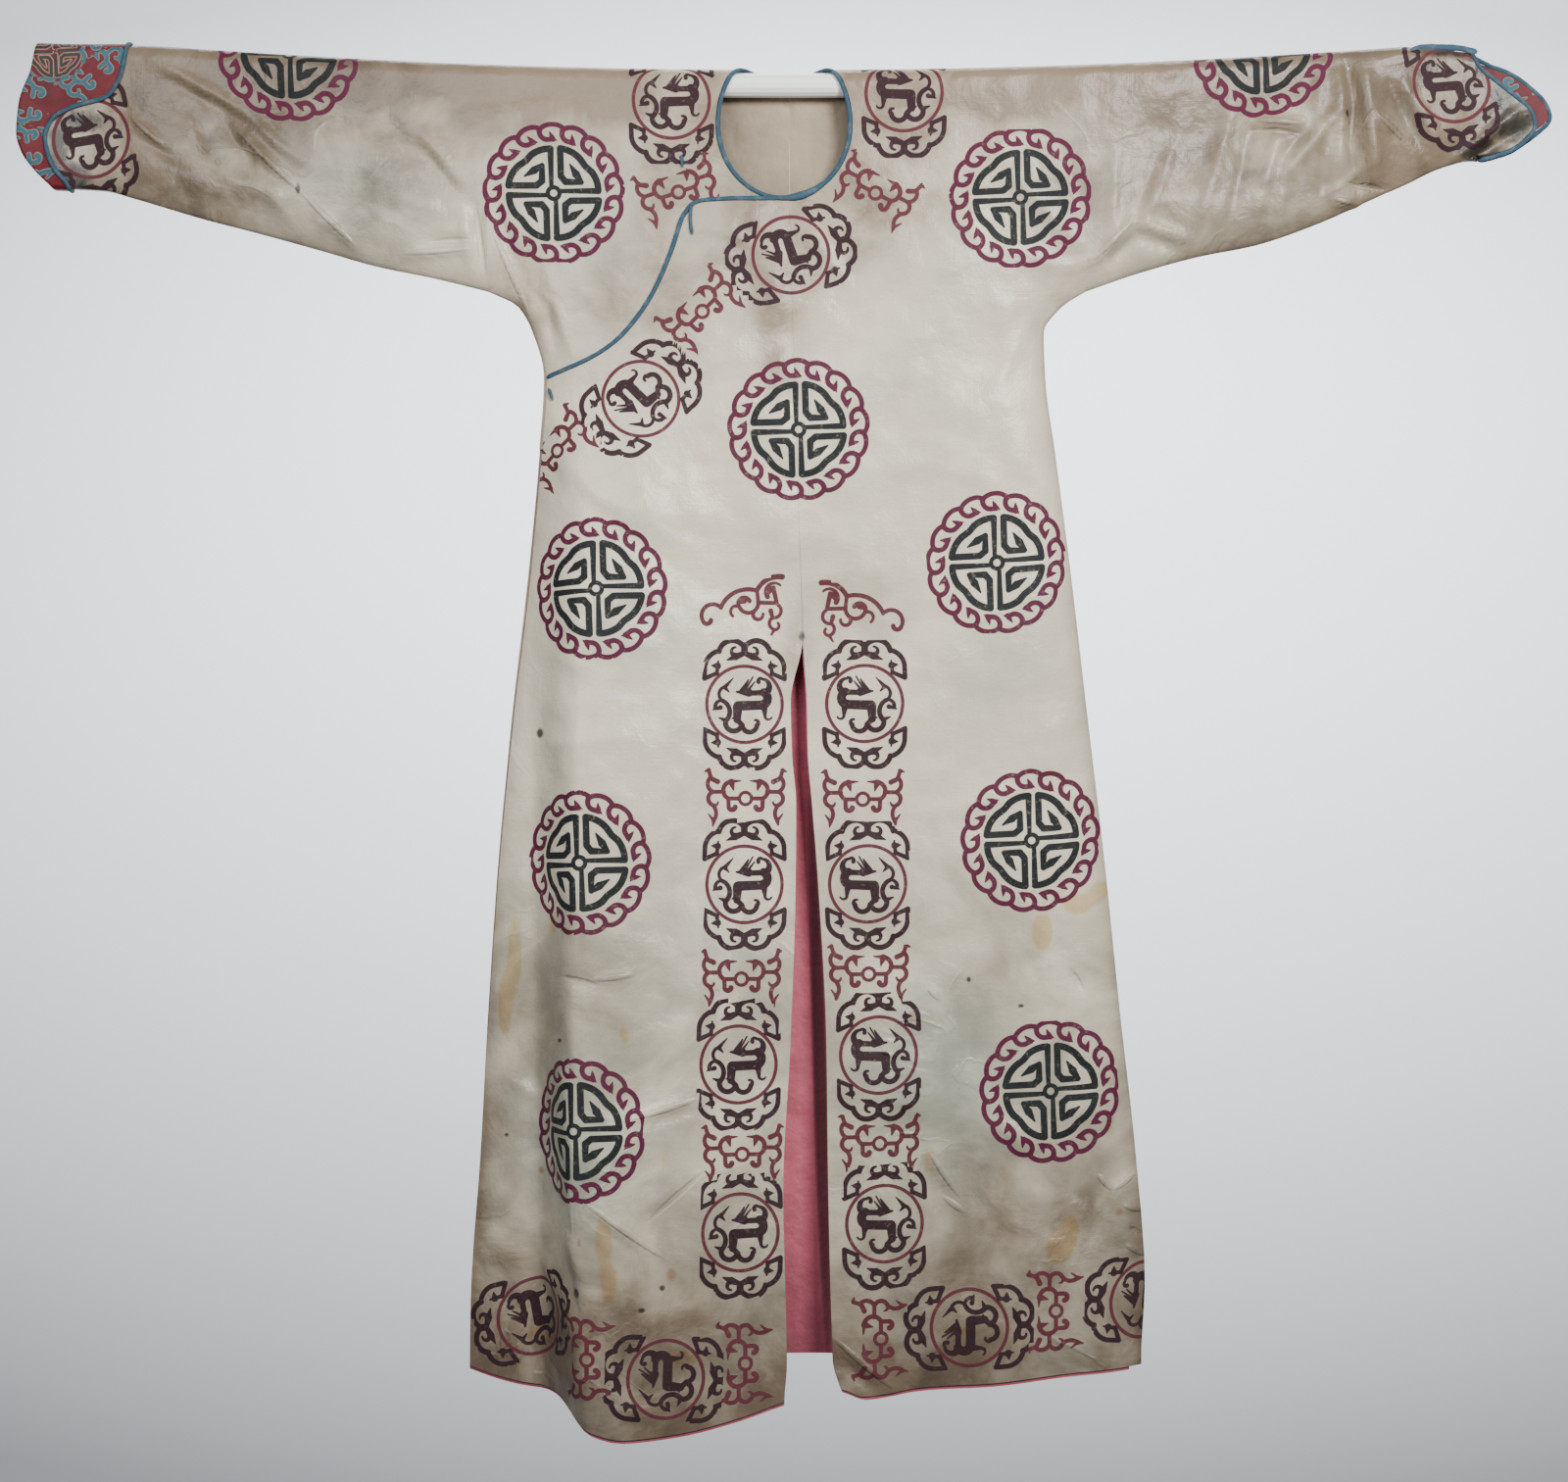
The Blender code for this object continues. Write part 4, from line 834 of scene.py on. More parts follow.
def at_travel(x, along):
    """Points of the cloth at x, that far along it."""
    face = np.where(along > -QUARTER_TURN, FRONT, BACK)
    down = np.where(face == FRONT, along, -math.pi * WRAP_RADIUS - along)
    return hang(x, np.where(down > 0, down, down / WRAP_RADIUS), face)


def neck_turn(along):
    """Angle round the neck opening, an ellipse that is taller above its widest point."""
    below = np.asarray(along) - NECK_WIDEST_DROP
    height = np.where(below > 0, NECK_LOWER_HEIGHT, NECK_UPPER_HEIGHT) + NECK_MARGIN
    return np.arcsin(np.clip(below / height, -1.0, 1.0))


def inner_edge(levels, side, face):
    """x of a body piece's edge at the neck and the centre, one value for each row."""
    if face == FRONT:
        centre = follow(CENTRE, 2 if side > 0 else 1, levels)
    else:
        centre = np.full(len(levels), BACK_CENTRE_X)
    opening = (NECK_HALF_WIDTH + NECK_MARGIN) * np.cos(neck_turn(travel(levels, face)))
    edge = np.where(opening > SEAM_GAP, NECK_X + side * opening, centre)
    limit = centre + side * CENTRE_SEAM / 2
    if face == FRONT and side < 0:
        limit = centre - UNDERLAP_CENTRE_GAP
    return np.maximum(edge, limit) if side > 0 else np.minimum(edge, limit)


def outer_edge(levels, side):
    """x of a body piece's outer edge: the armhole, then the side seam."""
    seam = side * follow(SIDE_SEAM, 1 if side < 0 else 2, levels)
    return np.where(np.asarray(levels) < ARMHOLE_DROP, side * ARMHOLE_X, seam)


def hem_drop(x, side, face):
    """Drop of the hem: its table on the left front, elsewhere growing with the square of x."""
    if face == FRONT and side > 0:
        return follow(LEFT_HEM, 1, x)
    return BACK_HEM + BACK_HEM_SIDE_DROP * (x / SIDE_SEAM[-1][2]) ** 2


def spaced(low, high, cell):
    """Even steps of about a cell from low to high, both counted."""
    return np.linspace(low, high, max(2, round((high - low) / cell) + 1))


def body_levels(face, cell, end):
    """Rows from the fold on the rod down, closer where the neck's edge turns in."""
    turns = np.radians(np.linspace(0, 90, 18))
    lowest = NECK_WIDEST_DROP + (NECK_LOWER_HEIGHT + NECK_MARGIN) * np.sin(turns[1:])
    wrap = np.linspace(-math.pi / 2, 0, 9)
    if face == BACK:
        back = NECK_WIDEST_DROP - (NECK_UPPER_HEIGHT + NECK_MARGIN) * np.sin(turns)
        angles = (-math.pi * WRAP_RADIUS - back) / WRAP_RADIUS
        wrap = np.unique(np.concatenate([wrap, angles[(angles > -1.5) & (angles < -0.02)]]))
    upper = np.concatenate([wrap, spaced(0, NECK_WIDEST_DROP, cell)[1:], lowest])
    arm = spaced(lowest[-1], ARMHOLE_DROP, cell)[1:]
    return np.concatenate([upper, arm, spaced(ARMHOLE_DROP, end, cell)[1:]])


def body_rows(levels, side, face, columns, to_hem=True):
    """Rows of a body piece: x runs straight from the inner edge to the outer one."""
    inner = inner_edge(levels, side, face)[:, None]
    outer = outer_edge(levels, side)[:, None]
    x = inner + (outer - inner) * columns
    level = np.repeat(levels[:, None], len(columns), axis=1)
    if to_hem:
        last = levels[-1]
        below = np.clip((level - ARMHOLE_DROP) / (last - ARMHOLE_DROP), 0.0, 1.0)
        level = level + below**2 * (hem_drop(x, side, face) - last)
    return hang(x, level, face)


def over_the_rod(front, back):
    """One grid from the front's last row up over the rod to the back's last row."""
    return np.concatenate([front[::-1], back[1:]])


def overlap_side(drop):
    """x of the overlap's side edge at a drop."""
    return -follow(SIDE_SEAM, 1, np.maximum(drop, SIDE_SEAM[3][0]))


def along_path(points, fractions):
    """Points at fractions of the length of a smooth line through a table's points."""
    points = np.array(points, float)
    station = np.arange(len(points), dtype=float)
    fine = np.linspace(0, len(points) - 1, 400)
    line = np.stack([follow(np.column_stack([station, points[:, k]]), 1, fine) for k in (0, 1)], axis=1)
    length = np.concatenate([[0], np.cumsum(np.hypot(*np.diff(line, axis=0).T))])
    where = np.asarray(fractions) * length[-1]
    return np.stack([np.interp(where, length, line[:, k]) for k in (0, 1)], axis=1)


def overlap_lift(x, drop):
    """The overlap's height above the surface that the underlap takes."""
    from_centre = follow(CENTRE, 1, drop) - x
    start, end = OVERLAP_LIFT_END
    return OVERLAP_LIFT * soft(from_centre / OVERLAP_LIFT_WIDTH) * (1 - soft((drop - start) / (end - start)))


def overlap_grid(cell):
    """The overlap: each column's share of the width changes softly from its top edge to its hem."""
    station = np.linspace(0, len(OVERLAP_TOP_COLUMNS) - 1, round(BODY_WIDTH / cell) + 1)
    counted = np.arange(len(OVERLAP_TOP_COLUMNS))
    top = along_path(OVERLAP_EDGE, np.interp(station, counted, OVERLAP_TOP_COLUMNS))
    hem_share = np.interp(station, counted, OVERLAP_HEM_COLUMNS)
    top_drop = top[:, 1]
    centre = follow(CENTRE, 1, top_drop)
    top_share = (centre - top[:, 0]) / (centre - overlap_side(top_drop))
    v = np.linspace(0, 1, round(OVERLAP_LENGTH / cell) + 1)[:, None]
    share = top_share + (hem_share - top_share) * soft(v)
    hem_x = hem_share * overlap_side(SIDE_SEAM[-1][0])
    drop = top_drop + (follow(OVERLAP_HEM, 1, hem_x) - top_drop) * v
    centre = follow(CENTRE, 1, drop) - CENTRE_SEAM / 2
    x = centre + (overlap_side(drop) - centre) * share
    points = hang(x, drop, FRONT)
    points[..., 1] -= overlap_lift(x, drop) + swell(x, drop)
    return points


def outward(grid):
    """Unit directions out of the garment: the cross product of a grid's two slopes."""
    down = np.gradient(grid, axis=0)
    across = np.gradient(grid, axis=1)
    out = np.cross(down, across)
    out /= np.linalg.norm(out, axis=-1, keepdims=True)
    return out * np.sign(np.sum(out[..., 1] * grid[..., 1]))


def crease_height(x, drop, y):
    """Sum of the creases at a point: a soft-ended bell across each line, fading over to the other side."""
    front = soft(0.5 - y / CREASE_FADE)
    total = np.zeros(np.broadcast(x, drop).shape)
    for weight, creases in ((front, FRONT_CREASES), (1 - front, BACK_CREASES)):
        for *ends, half_width, height in np.array(creases) * MM:
            share, gap = from_segment(x, drop, *ends)
            along = CREASE_ENDS + (1 - CREASE_ENDS) * np.sin(math.pi * share)
            total += height * along * np.exp(-((gap / half_width) ** CREASE_POWER)) * weight
    return total * sizes().crease_share


def crease_offset(points):
    """Crease height at points, held back on the rod, where the cloth lies tight."""
    x = points[..., 0]
    drop = -points[..., 2]
    height = crease_height(x, drop, points[..., 1])
    free = soft((drop + rod_height(x) + TIGHT_ABOVE) / TIGHT_WITHIN)
    return height * (TIGHT_SHARE + (1 - TIGHT_SHARE) * free)


def creased(grid, inset=0.0):
    """The grid moved out along its normals by the creases, and in by the inset of a lining."""
    return grid + outward(grid) * (crease_offset(grid) - inset)[..., None]


def pull_edge(grid, axis, edge, distance):
    """Moves an edge row (axis 0) or column (axis 1) of a grid outwards along the cloth, or in if negative."""
    grid = np.swapaxes(grid.copy(), 0, axis)
    inside = 1 if edge == 0 else -2
    way = grid[edge] - grid[inside]
    grid[edge] += way / np.linalg.norm(way, axis=-1, keepdims=True) * distance
    return np.swapaxes(grid, 0, axis)


def measured(grid, axis, parts):
    """Length along the cloth from a grid's first row or column, through two of its coordinates."""
    steps = np.diff(grid[..., parts], axis=axis)
    lengths = np.cumsum(np.linalg.norm(steps, axis=-1), axis=axis)
    first = np.zeros_like(np.take(grid[..., 0], [0], axis=axis))
    return np.concatenate([first, lengths], axis=axis)


class Cut:
    """A piece of cloth as a grid: where it hangs, its flat coordinates, and the edges sewn to each other."""

    def __init__(self, points, across, along, sewn=None):
        self.points = points
        self.across = across
        self.along = along
        self.sewn = sewn

    def area(self):
        """Half the cross product of each cell's diagonals, added up."""
        p = self.points
        diagonals = np.cross(p[1:, 1:] - p[:-1, :-1], p[1:, :-1] - p[:-1, 1:])
        return float(np.linalg.norm(diagonals, axis=-1).sum() / 2)

    def size(self):
        return float(np.ptp(self.across)), float(np.ptp(self.along))


def flat_piece(grid, start, direction, fold_row, sewn=None):
    """A cut whose flat coordinates are lengths across from a known edge, and down from the fold."""
    across = start + direction * measured(grid, 1, (0, 1))
    along = measured(grid, 0, (1, 2))
    return Cut(grid, across, along[fold_row] - along, sewn)


def near_point(cut, x, drop, face):
    """Flat coordinates of a place that is given as it hangs, from the grid's nearest point."""
    far = (cut.points[..., 1] * face < 0) * FAR
    gap = np.hypot(cut.points[..., 0] - x, cut.points[..., 2] + drop) + far
    at = np.unravel_index(np.argmin(gap), gap.shape)
    nearest = cut.points[at]
    along = cut.along[at] + face * -1 * (drop + nearest[2])
    return cut.across[at] + x - nearest[0], along


def placed_motifs(name, cut):
    """Every motif on this piece: kind, middle in flat coordinates, turn, mirror, and the side it is on."""
    found = []
    for table, face in ((FRONT_MOTIFS, FRONT), (BACK_MOTIFS, BACK), (TOP_MOTIFS, 0)):
        for kind, x, drop, turn, mirror in table.get(name, []):
            middle = (x * MM, drop * MM)
            if face:
                middle = near_point(cut, *middle, face)
            found.append((kind, *middle, math.radians(turn), mirror, face))
    return found


def motif_coordinates(motif, across, along):
    """Places turned and mirrored into the motif's own metres, right and up as it is seen."""
    _, middle_across, middle_along, turn, mirror, face = motif
    right = across - middle_across
    up = middle_along - along
    if face == BACK:
        right, up = -right, -up
    u = right * math.cos(turn) + up * math.sin(turn)
    v = up * math.cos(turn) - right * math.sin(turn)
    return u * mirror, v


def grid_faces(rows, columns):
    """Corner numbers of every cell of a grid, as one array."""
    index = np.arange(rows * columns).reshape(rows, columns)
    return np.stack([index[:-1, :-1], index[:-1, 1:], index[1:, 1:], index[1:, :-1]], axis=-1).reshape(-1, 4)


def turned_out(vertices, faces, reference):
    """The faces, all turned round if most of them look away from the reference directions."""
    a = vertices[faces[:, 0]]
    normal = np.cross(vertices[faces[:, 1]] - a, vertices[faces[:, 2]] - a)
    facing = np.sum(normal * reference[faces[:, 0]])
    return faces if facing > 0 else faces[:, ::-1]


def tint_values(points):
    """Strength of each tint at every point: bells on ovals, then bells of painted shade across the seams and
    the top fold.
    """
    x = points[..., 0]
    drop = -points[..., 2]
    values = np.zeros(points.shape[:-1] + (4,))
    for channel, patches in enumerate((TAN_AND_SHADE_PATCHES, COOL_PATCHES, STAINS)):
        for *oval, strength in patches:
            at_x, at_drop, half_width, half_height = np.array(oval) * MM
            away = ((x - at_x) / half_width) ** 2 + ((drop - at_drop) / half_height) ** 2
            values[..., channel] += strength * np.exp(-away) * (1 - values[..., channel])
    seam = np.exp(-((edge_distance(x, drop) / SEAM_SHADE_WIDTH) ** 2))
    ridge = np.exp(-(((drop + rod_height(x)) / TOP_SHADE_WIDTH) ** 2))
    ridge = ridge * soft((np.abs(x) - TOP_SHADE_START) / TOP_SHADE_REACH)
    values[..., 3] = np.maximum(SEAM_SHADE * seam, ridge)
    return values


def mesh_from(name, vertices, faces, materials, kinds=None):
    """A mesh of four-cornered faces, smooth, with a material number for each face."""
    mesh = bpy.data.meshes.new(name)
    mesh.from_pydata(vertices.tolist(), [], faces.tolist())
    for made in materials:
        mesh.materials.append(made)
    if kinds is not None:
        mesh.polygons.foreach_set("material_index", kinds.astype(np.int32))
    mesh.shade_smooth()
    of_corner = np.zeros(len(mesh.loops), np.int32)
    mesh.loops.foreach_get("edge_index", of_corner)
    mesh.edges.foreach_set("use_edge_sharp", np.bincount(of_corner, minlength=len(mesh.edges)) == 1)
    mesh.update()
    piece = bpy.data.objects.new(name, mesh)
    bpy.context.scene.collection.objects.link(piece)
    return piece


def corner_map(mesh, name, values):
    """A UV map whose value is given for every corner of every face."""
    layer = mesh.uv_layers.new(name=name)
    layer.data.foreach_set("uv", values.reshape(-1).astype(np.float32))


def finish_piece(piece, node, wall=0.0):
    """Gives the cloth its wall, hangs it on the root body, and hides the imported part that it stands for."""
    if wall:
        solidify = piece.modifiers.new("Wall", "SOLIDIFY")
        solidify.thickness = wall
        solidify.offset = 0.0
        solidify.use_even_offset = True
    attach(piece, "root")
    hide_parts(node)


def sew_cloth(name, cut, hung, kinds, slot, wall, rests_on=("rod",)):
    """Builds a piece of cloth from its cut, as it hangs once creased, with its flat map, motifs and tints."""
    rows, columns = cut.points.shape[:2]
    vertices = hung.reshape(-1, 3)
    out = outward(cut.points).reshape(-1, 3)
    faces = turned_out(vertices, grid_faces(rows, columns), out)
    across = cut.across.reshape(-1)[faces]
    along = cut.along.reshape(-1)[faces]
    numbers = np.zeros(len(faces), int)
    u = across.copy()
    v = along.copy()
    best = np.ones(len(faces))
    middle = (across.mean(axis=1), along.mean(axis=1))
    side = np.sign(cut.points.reshape(-1, 3)[faces][..., 1].mean(axis=1))
    for motif in placed_motifs(name, cut):
        reach = MOTIF_REACH[motif[0]]
        at_u, at_v = motif_coordinates(motif, *middle)
        if motif[0] == "arch":
            at_u, at_v = at_u - ARCH_MIDDLE[0], at_v - ARCH_MIDDLE[1]
        height = reach[1] + (reach[2] - reach[1]) * soft((np.abs(at_u) / reach[0] - 0.5) / 0.35)
        beyond = np.maximum(np.abs(at_u) / reach[0], np.abs(at_v) / height)
        here = (beyond < best) & ((motif[5] == 0) | (side == motif[5]))
        best[here] = beyond[here]
        numbers[here] = list(kinds).index(motif[0])
        u[here], v[here] = motif_coordinates(motif, across[here], along[here])
    if cut.sewn is not None:
        first, second = cut.sewn
        seam = np.stack([first[:-1], first[1:], second[1:], second[:-1]], axis=1)
        seam = turned_out(vertices, seam, seam_reference(cut, first))
        near = np.stack([cut.across.reshape(-1)[first[:-1]]] * 4, axis=1)
        down = np.stack([cut.along.reshape(-1)[first[:-1]]] * 4, axis=1)
        faces = np.concatenate([faces, seam])
        across = np.concatenate([across, near])
        along = np.concatenate([along, down])
        u = np.concatenate([u, near])
        v = np.concatenate([v, down])
        numbers = np.concatenate([numbers, np.zeros(len(seam), int)])
    piece = mesh_from(name + "_cloth", vertices, faces, [kinds[kind] for kind in kinds], numbers)
    corner_map(piece.data, "cloth", np.stack([across, along], axis=-1))
    corner_map(piece.data, "motif", np.stack([u, v], axis=-1))
    tints = piece.data.color_attributes.new(name="tint", type="FLOAT_COLOR", domain="POINT")
    tints.data.foreach_set("color", tint_values(cut.points).reshape(-1).astype(np.float32))
    finish_piece(piece, name, wall)
    width, length = cut.size()
    area = min(cut.area(), width * length)


def sew_silk(name, cut, hung, rests_on=("rod",)):
    """Sews a piece of the patterned silk."""
    sew_cloth(name, cut, hung, silk_kinds(), "silk", sizes().silk_wall, rests_on)


def sew_satin(name, cut, hung, cuff):
    """Sews a cuff's red facing."""
    sew_cloth(name, cut, hung, satin_kinds(), "satin_red", sizes().lining_wall, (cuff,))


def seam_reference(cut, first):
    """Directions away from the cloth at its sewn edge, one for every point of the piece."""
    points = cut.points.reshape(-1, 3)
    inside = points.mean(axis=0)
    way = np.zeros_like(points)
    way[first] = points[first] - inside
    way[:, 1] = 0.0
    return way


class Web:
    """Adds nodes to a tree. A value is a number, a vector or another node's output."""

    def __init__(self, tree):
        self.tree = tree

    def feed(self, socket, value):
        if isinstance(value, bpy.types.NodeSocket):
            self.tree.links.new(value, socket)
        else:
            socket.default_value = value

    def add(self, kind, inputs=None, **settings):
        node = self.tree.nodes.new("ShaderNode" + kind)
        for name, value in settings.items():
            setattr(node, name, value)
        for name, value in (inputs or {}).items():
            self.feed(node.inputs[name], value)
        return node

    def math(self, operation, first, second=0.5, third=0.5, clamp=False):
        values = {0: first, 1: second, 2: third}
        return self.add("Math", values, operation=operation, use_clamp=clamp).outputs[0]

    def times(self, first, second, clamp=False):
        return self.math("MULTIPLY", first, second, clamp=clamp)

    def times_plus(self, first, second, third):
        return self.math("MULTIPLY_ADD", first, second, third)

    def plus(self, first, second, clamp=False):
        return self.math("ADD", first, second, clamp=clamp)

    def less(self, first, second):
        return self.math("SUBTRACT", first, second)

    def vector(self, operation, first, second=(0, 0, 0), scale=1.0):
        node = self.add("VectorMath", {0: first, 1: second, 3: scale}, operation=operation)
        return node.outputs[1 if operation in ("DOT_PRODUCT", "LENGTH", "DISTANCE") else 0]

    def mix(self, share, first, second, blend="MIX"):
        node = self.add("Mix", data_type="RGBA", blend_type=blend, clamp_factor=True)
        for socket, value in ((0, share), (6, first), (7, second)):
            self.feed(node.inputs[socket], value)
        return node.outputs[2]

    def noise(self, place, scale, detail=2.0, roughness=0.5, distortion=0.0):
        inputs = {"Vector": place, "Scale": scale, "Detail": detail, "Roughness": roughness}
        return self.add("TexNoise", {**inputs, "Distortion": distortion}).outputs[0]

    def smooth(self, value, low, high, start=0.0, end=1.0):
        """Goes softly from start to end as the value goes from low to high."""
        inputs = {"Value": value, "From Min": low, "From Max": high, "To Min": start, "To Max": end}
        return self.add("MapRange", inputs, interpolation_type="SMOOTHSTEP").outputs[0]

    def scaled(self, place, size):
        return self.vector("MULTIPLY", place, size)

    def split(self, place):
        node = self.add("SeparateXYZ", {0: place})
        return node.outputs[0], node.outputs[1]

    def join(self, x, y, z=0.0):
        return self.add("CombineXYZ", {0: x, 1: y, 2: z}).outputs[0]

    def group(self, tree, inputs=None):
        node = self.tree.nodes.new("ShaderNodeGroup")
        node.node_tree = tree
        for name, value in (inputs or {}).items():
            self.feed(node.inputs[name], value)
        return node.outputs

    def uv(self, name):
        return self.add("UVMap", uv_map=name).outputs[0]

    def place(self):
        return self.add("TexCoord").outputs["Object"]


def new_group(name, inputs, outputs):
    """A node group with its sockets: (name, kind) pairs, where a kind is Vector, Float or Color."""
    tree = bpy.data.node_groups.new(name, "ShaderNodeTree")
    for label, kind in inputs:
        tree.interface.new_socket(name=label, in_out="INPUT", socket_type="NodeSocket" + kind)
    for label, kind in outputs:
        tree.interface.new_socket(name=label, in_out="OUTPUT", socket_type="NodeSocket" + kind)
    return tree, tree.nodes.new("NodeGroupInput").outputs, tree.nodes.new("NodeGroupOutput").inputs


def line_group():
    """Distance to a straight stroke: to the nearest place on its line, less a width that changes evenly.
    The point's third number carries the least distance so far, which keeps the strokes in a chain."""
    sockets = [("Point", "Vector"), ("From", "Vector"), ("To", "Vector")]
    sockets += [("Start", "Float"), ("End", "Float")]
    tree, given, result = new_group("robe line", sockets, [("Point", "Vector")])
    web = Web(tree)
    point = web.vector("MULTIPLY", given["Point"], (1, 1, 0))
    away = web.vector("SUBTRACT", point, given["From"])
    run = web.vector("SUBTRACT", given["To"], given["From"])
    share = web.math(
        "DIVIDE", web.vector("DOT_PRODUCT", away, run), web.vector("DOT_PRODUCT", run, run), clamp=True
    )
    gap = web.vector("LENGTH", web.vector("SUBTRACT", away, web.vector("SCALE", run, scale=share)))
    width = web.times_plus(web.less(given["End"], given["Start"]), share, given["Start"])
    web.feed(result["Point"], least_so_far(web, given["Point"], web.less(gap, width)))
    return tree


def arc_group():
    """Distance to an arc: the angle from its middle is held between its ends, and gives the nearest place.
    The point's third number carries the least distance so far, as for a line."""
    sockets = [("Point", "Vector"), ("Centre", "Vector"), ("Radius", "Float"), ("Turn", "Float")]
    sockets += [("Half", "Float"), ("Start", "Float"), ("End", "Float")]
    tree, given, result = new_group("robe arc", sockets, [("Point", "Vector")])
    web = Web(tree)
    point = web.vector("MULTIPLY", given["Point"], (1, 1, 0))
    away = web.vector("SUBTRACT", point, given["Centre"])
    spin = {"Vector": away, "Angle": given["Turn"]}
    turned = web.add("VectorRotate", spin, rotation_type="Z_AXIS").outputs[0]
    x, y = web.split(turned)
    angle = web.math("ARCTAN2", y, x)
    held = web.math("MAXIMUM", web.math("MINIMUM", angle, given["Half"]), web.times(given["Half"], -1.0))
    nearest = web.join(web.math("COSINE", held), web.math("SINE", held))
    gap = web.vector("DISTANCE", turned, web.vector("SCALE", nearest, scale=given["Radius"]))
    share = web.times_plus(web.math("DIVIDE", held, given["Half"]), 0.5, 0.5)
    width = web.times_plus(web.less(given["End"], given["Start"]), share, given["Start"])
    web.feed(result["Point"], least_so_far(web, given["Point"], web.less(gap, width)))
    return tree


def least_so_far(web, carried, gap):
    """The same point, with the smaller of its third number and a gap as its third number."""
    parts = web.add("SeparateXYZ", {0: carried}).outputs
    return web.add("CombineXYZ", {0: parts[0], 1: parts[1], 2: web.math("MINIMUM", parts[2], gap)}).outputs[0]


def circle_through(ax, ay, mx, my, bx, by):
    """Middle, radius, first angle and turn of the arc through three points, each as far from the middle."""
    double = 2 * (ax * (my - by) + mx * (by - ay) + bx * (ay - my))
    a, m, b = ax * ax + ay * ay, mx * mx + my * my, bx * bx + by * by
    cx = (a * (my - by) + m * (by - ay) + b * (ay - my)) / double
    cy = (a * (bx - mx) + m * (ax - bx) + b * (mx - ax)) / double
    first, middle, last = (math.atan2(y - cy, x - cx) for x, y in ((ax, ay), (mx, my), (bx, by)))
    turn = (last - first) % (2 * math.pi)
    if (middle - first) % (2 * math.pi) > turn:
        turn -= 2 * math.pi
    return (cx, cy), math.hypot(ax - cx, ay - cy), first, turn


def drawn(web, point, strokes):
    """Distance to the nearest of a drawing's strokes, below nought inside one."""
    carried = web.vector("ADD", web.vector("MULTIPLY", point, (1, 1, 0)), (0, 0, FAR))
    for stroke in [[number * MM for number in row] for row in strokes]:
        if len(stroke) == 6:
            ax, ay, bx, by, start, end = stroke
            inputs = {"Point": carried, "From": (ax, ay, 0), "To": (bx, by, 0), "Start": start, "End": end}
            carried = web.group(bpy.data.node_groups["robe line"], inputs)[0]
        else:
            centre, radius, first, turn = circle_through(*stroke[:6])
            start, end = stroke[6:] if turn > 0 else (stroke[7], stroke[6])
            inputs = {
                "Point": carried,
                "Centre": (*centre, 0),
                "Radius": radius,
                "Turn": -(first + turn / 2),
                "Half": abs(turn) / 2,
                "Start": start,
                "End": end,
            }
            carried = web.group(bpy.data.node_groups["robe arc"], inputs)[0]
    return web.add("SeparateXYZ", {0: carried}).outputs[2]


def ring_gap(web, point, radius, half_width):
    """Distance to a ring: the distance to its circle, less half its width."""
    gap = web.math("ABSOLUTE", web.less(web.vector("LENGTH", point), radius))
    return web.less(gap, half_width)


def folded(web, point, up=False):
    """The point with its left half laid on its right one, and its lower half on its upper one if asked."""
    x, y = web.split(point)
    right = web.math("ABSOLUTE", x)
    return web.join(right, web.math("ABSOLUTE", y) if up else y)


def quarter_turned(web, point):
    """The point turned by quarters into the first quarter, which repeats a drawing four times round."""
    x, y = web.split(point)
    angle = web.math("FLOORED_MODULO", web.math("ARCTAN2", y, x), math.pi / 2)
    length = web.vector("LENGTH", point)
    return web.join(
        web.times(length, web.math("COSINE", angle)),
        web.times(length, web.math("SINE", angle)),
    )


def round_the_ring(web, point):
    """Distance along one of the ring's hooks, clockwise from its middle, and distance out from the centre."""
    x, y = web.split(point)
    pitch = 2 * math.pi / HOOKS
    angle = web.math("FLOORED_MODULO", web.times(web.math("ARCTAN2", y, x), -1.0), pitch)
    along = web.times(web.less(angle, pitch / 2), HOOK_MIDDLE)
    return web.join(along, web.vector("LENGTH", point))


def woven(web, gap, softness=WEAVE_EDGE):
    """1 inside a drawing and 0 outside, with an edge as soft as the weave, a little past the line."""
    return web.smooth(gap, -0.4 * softness, 1.6 * softness, 1.0, 0.0)


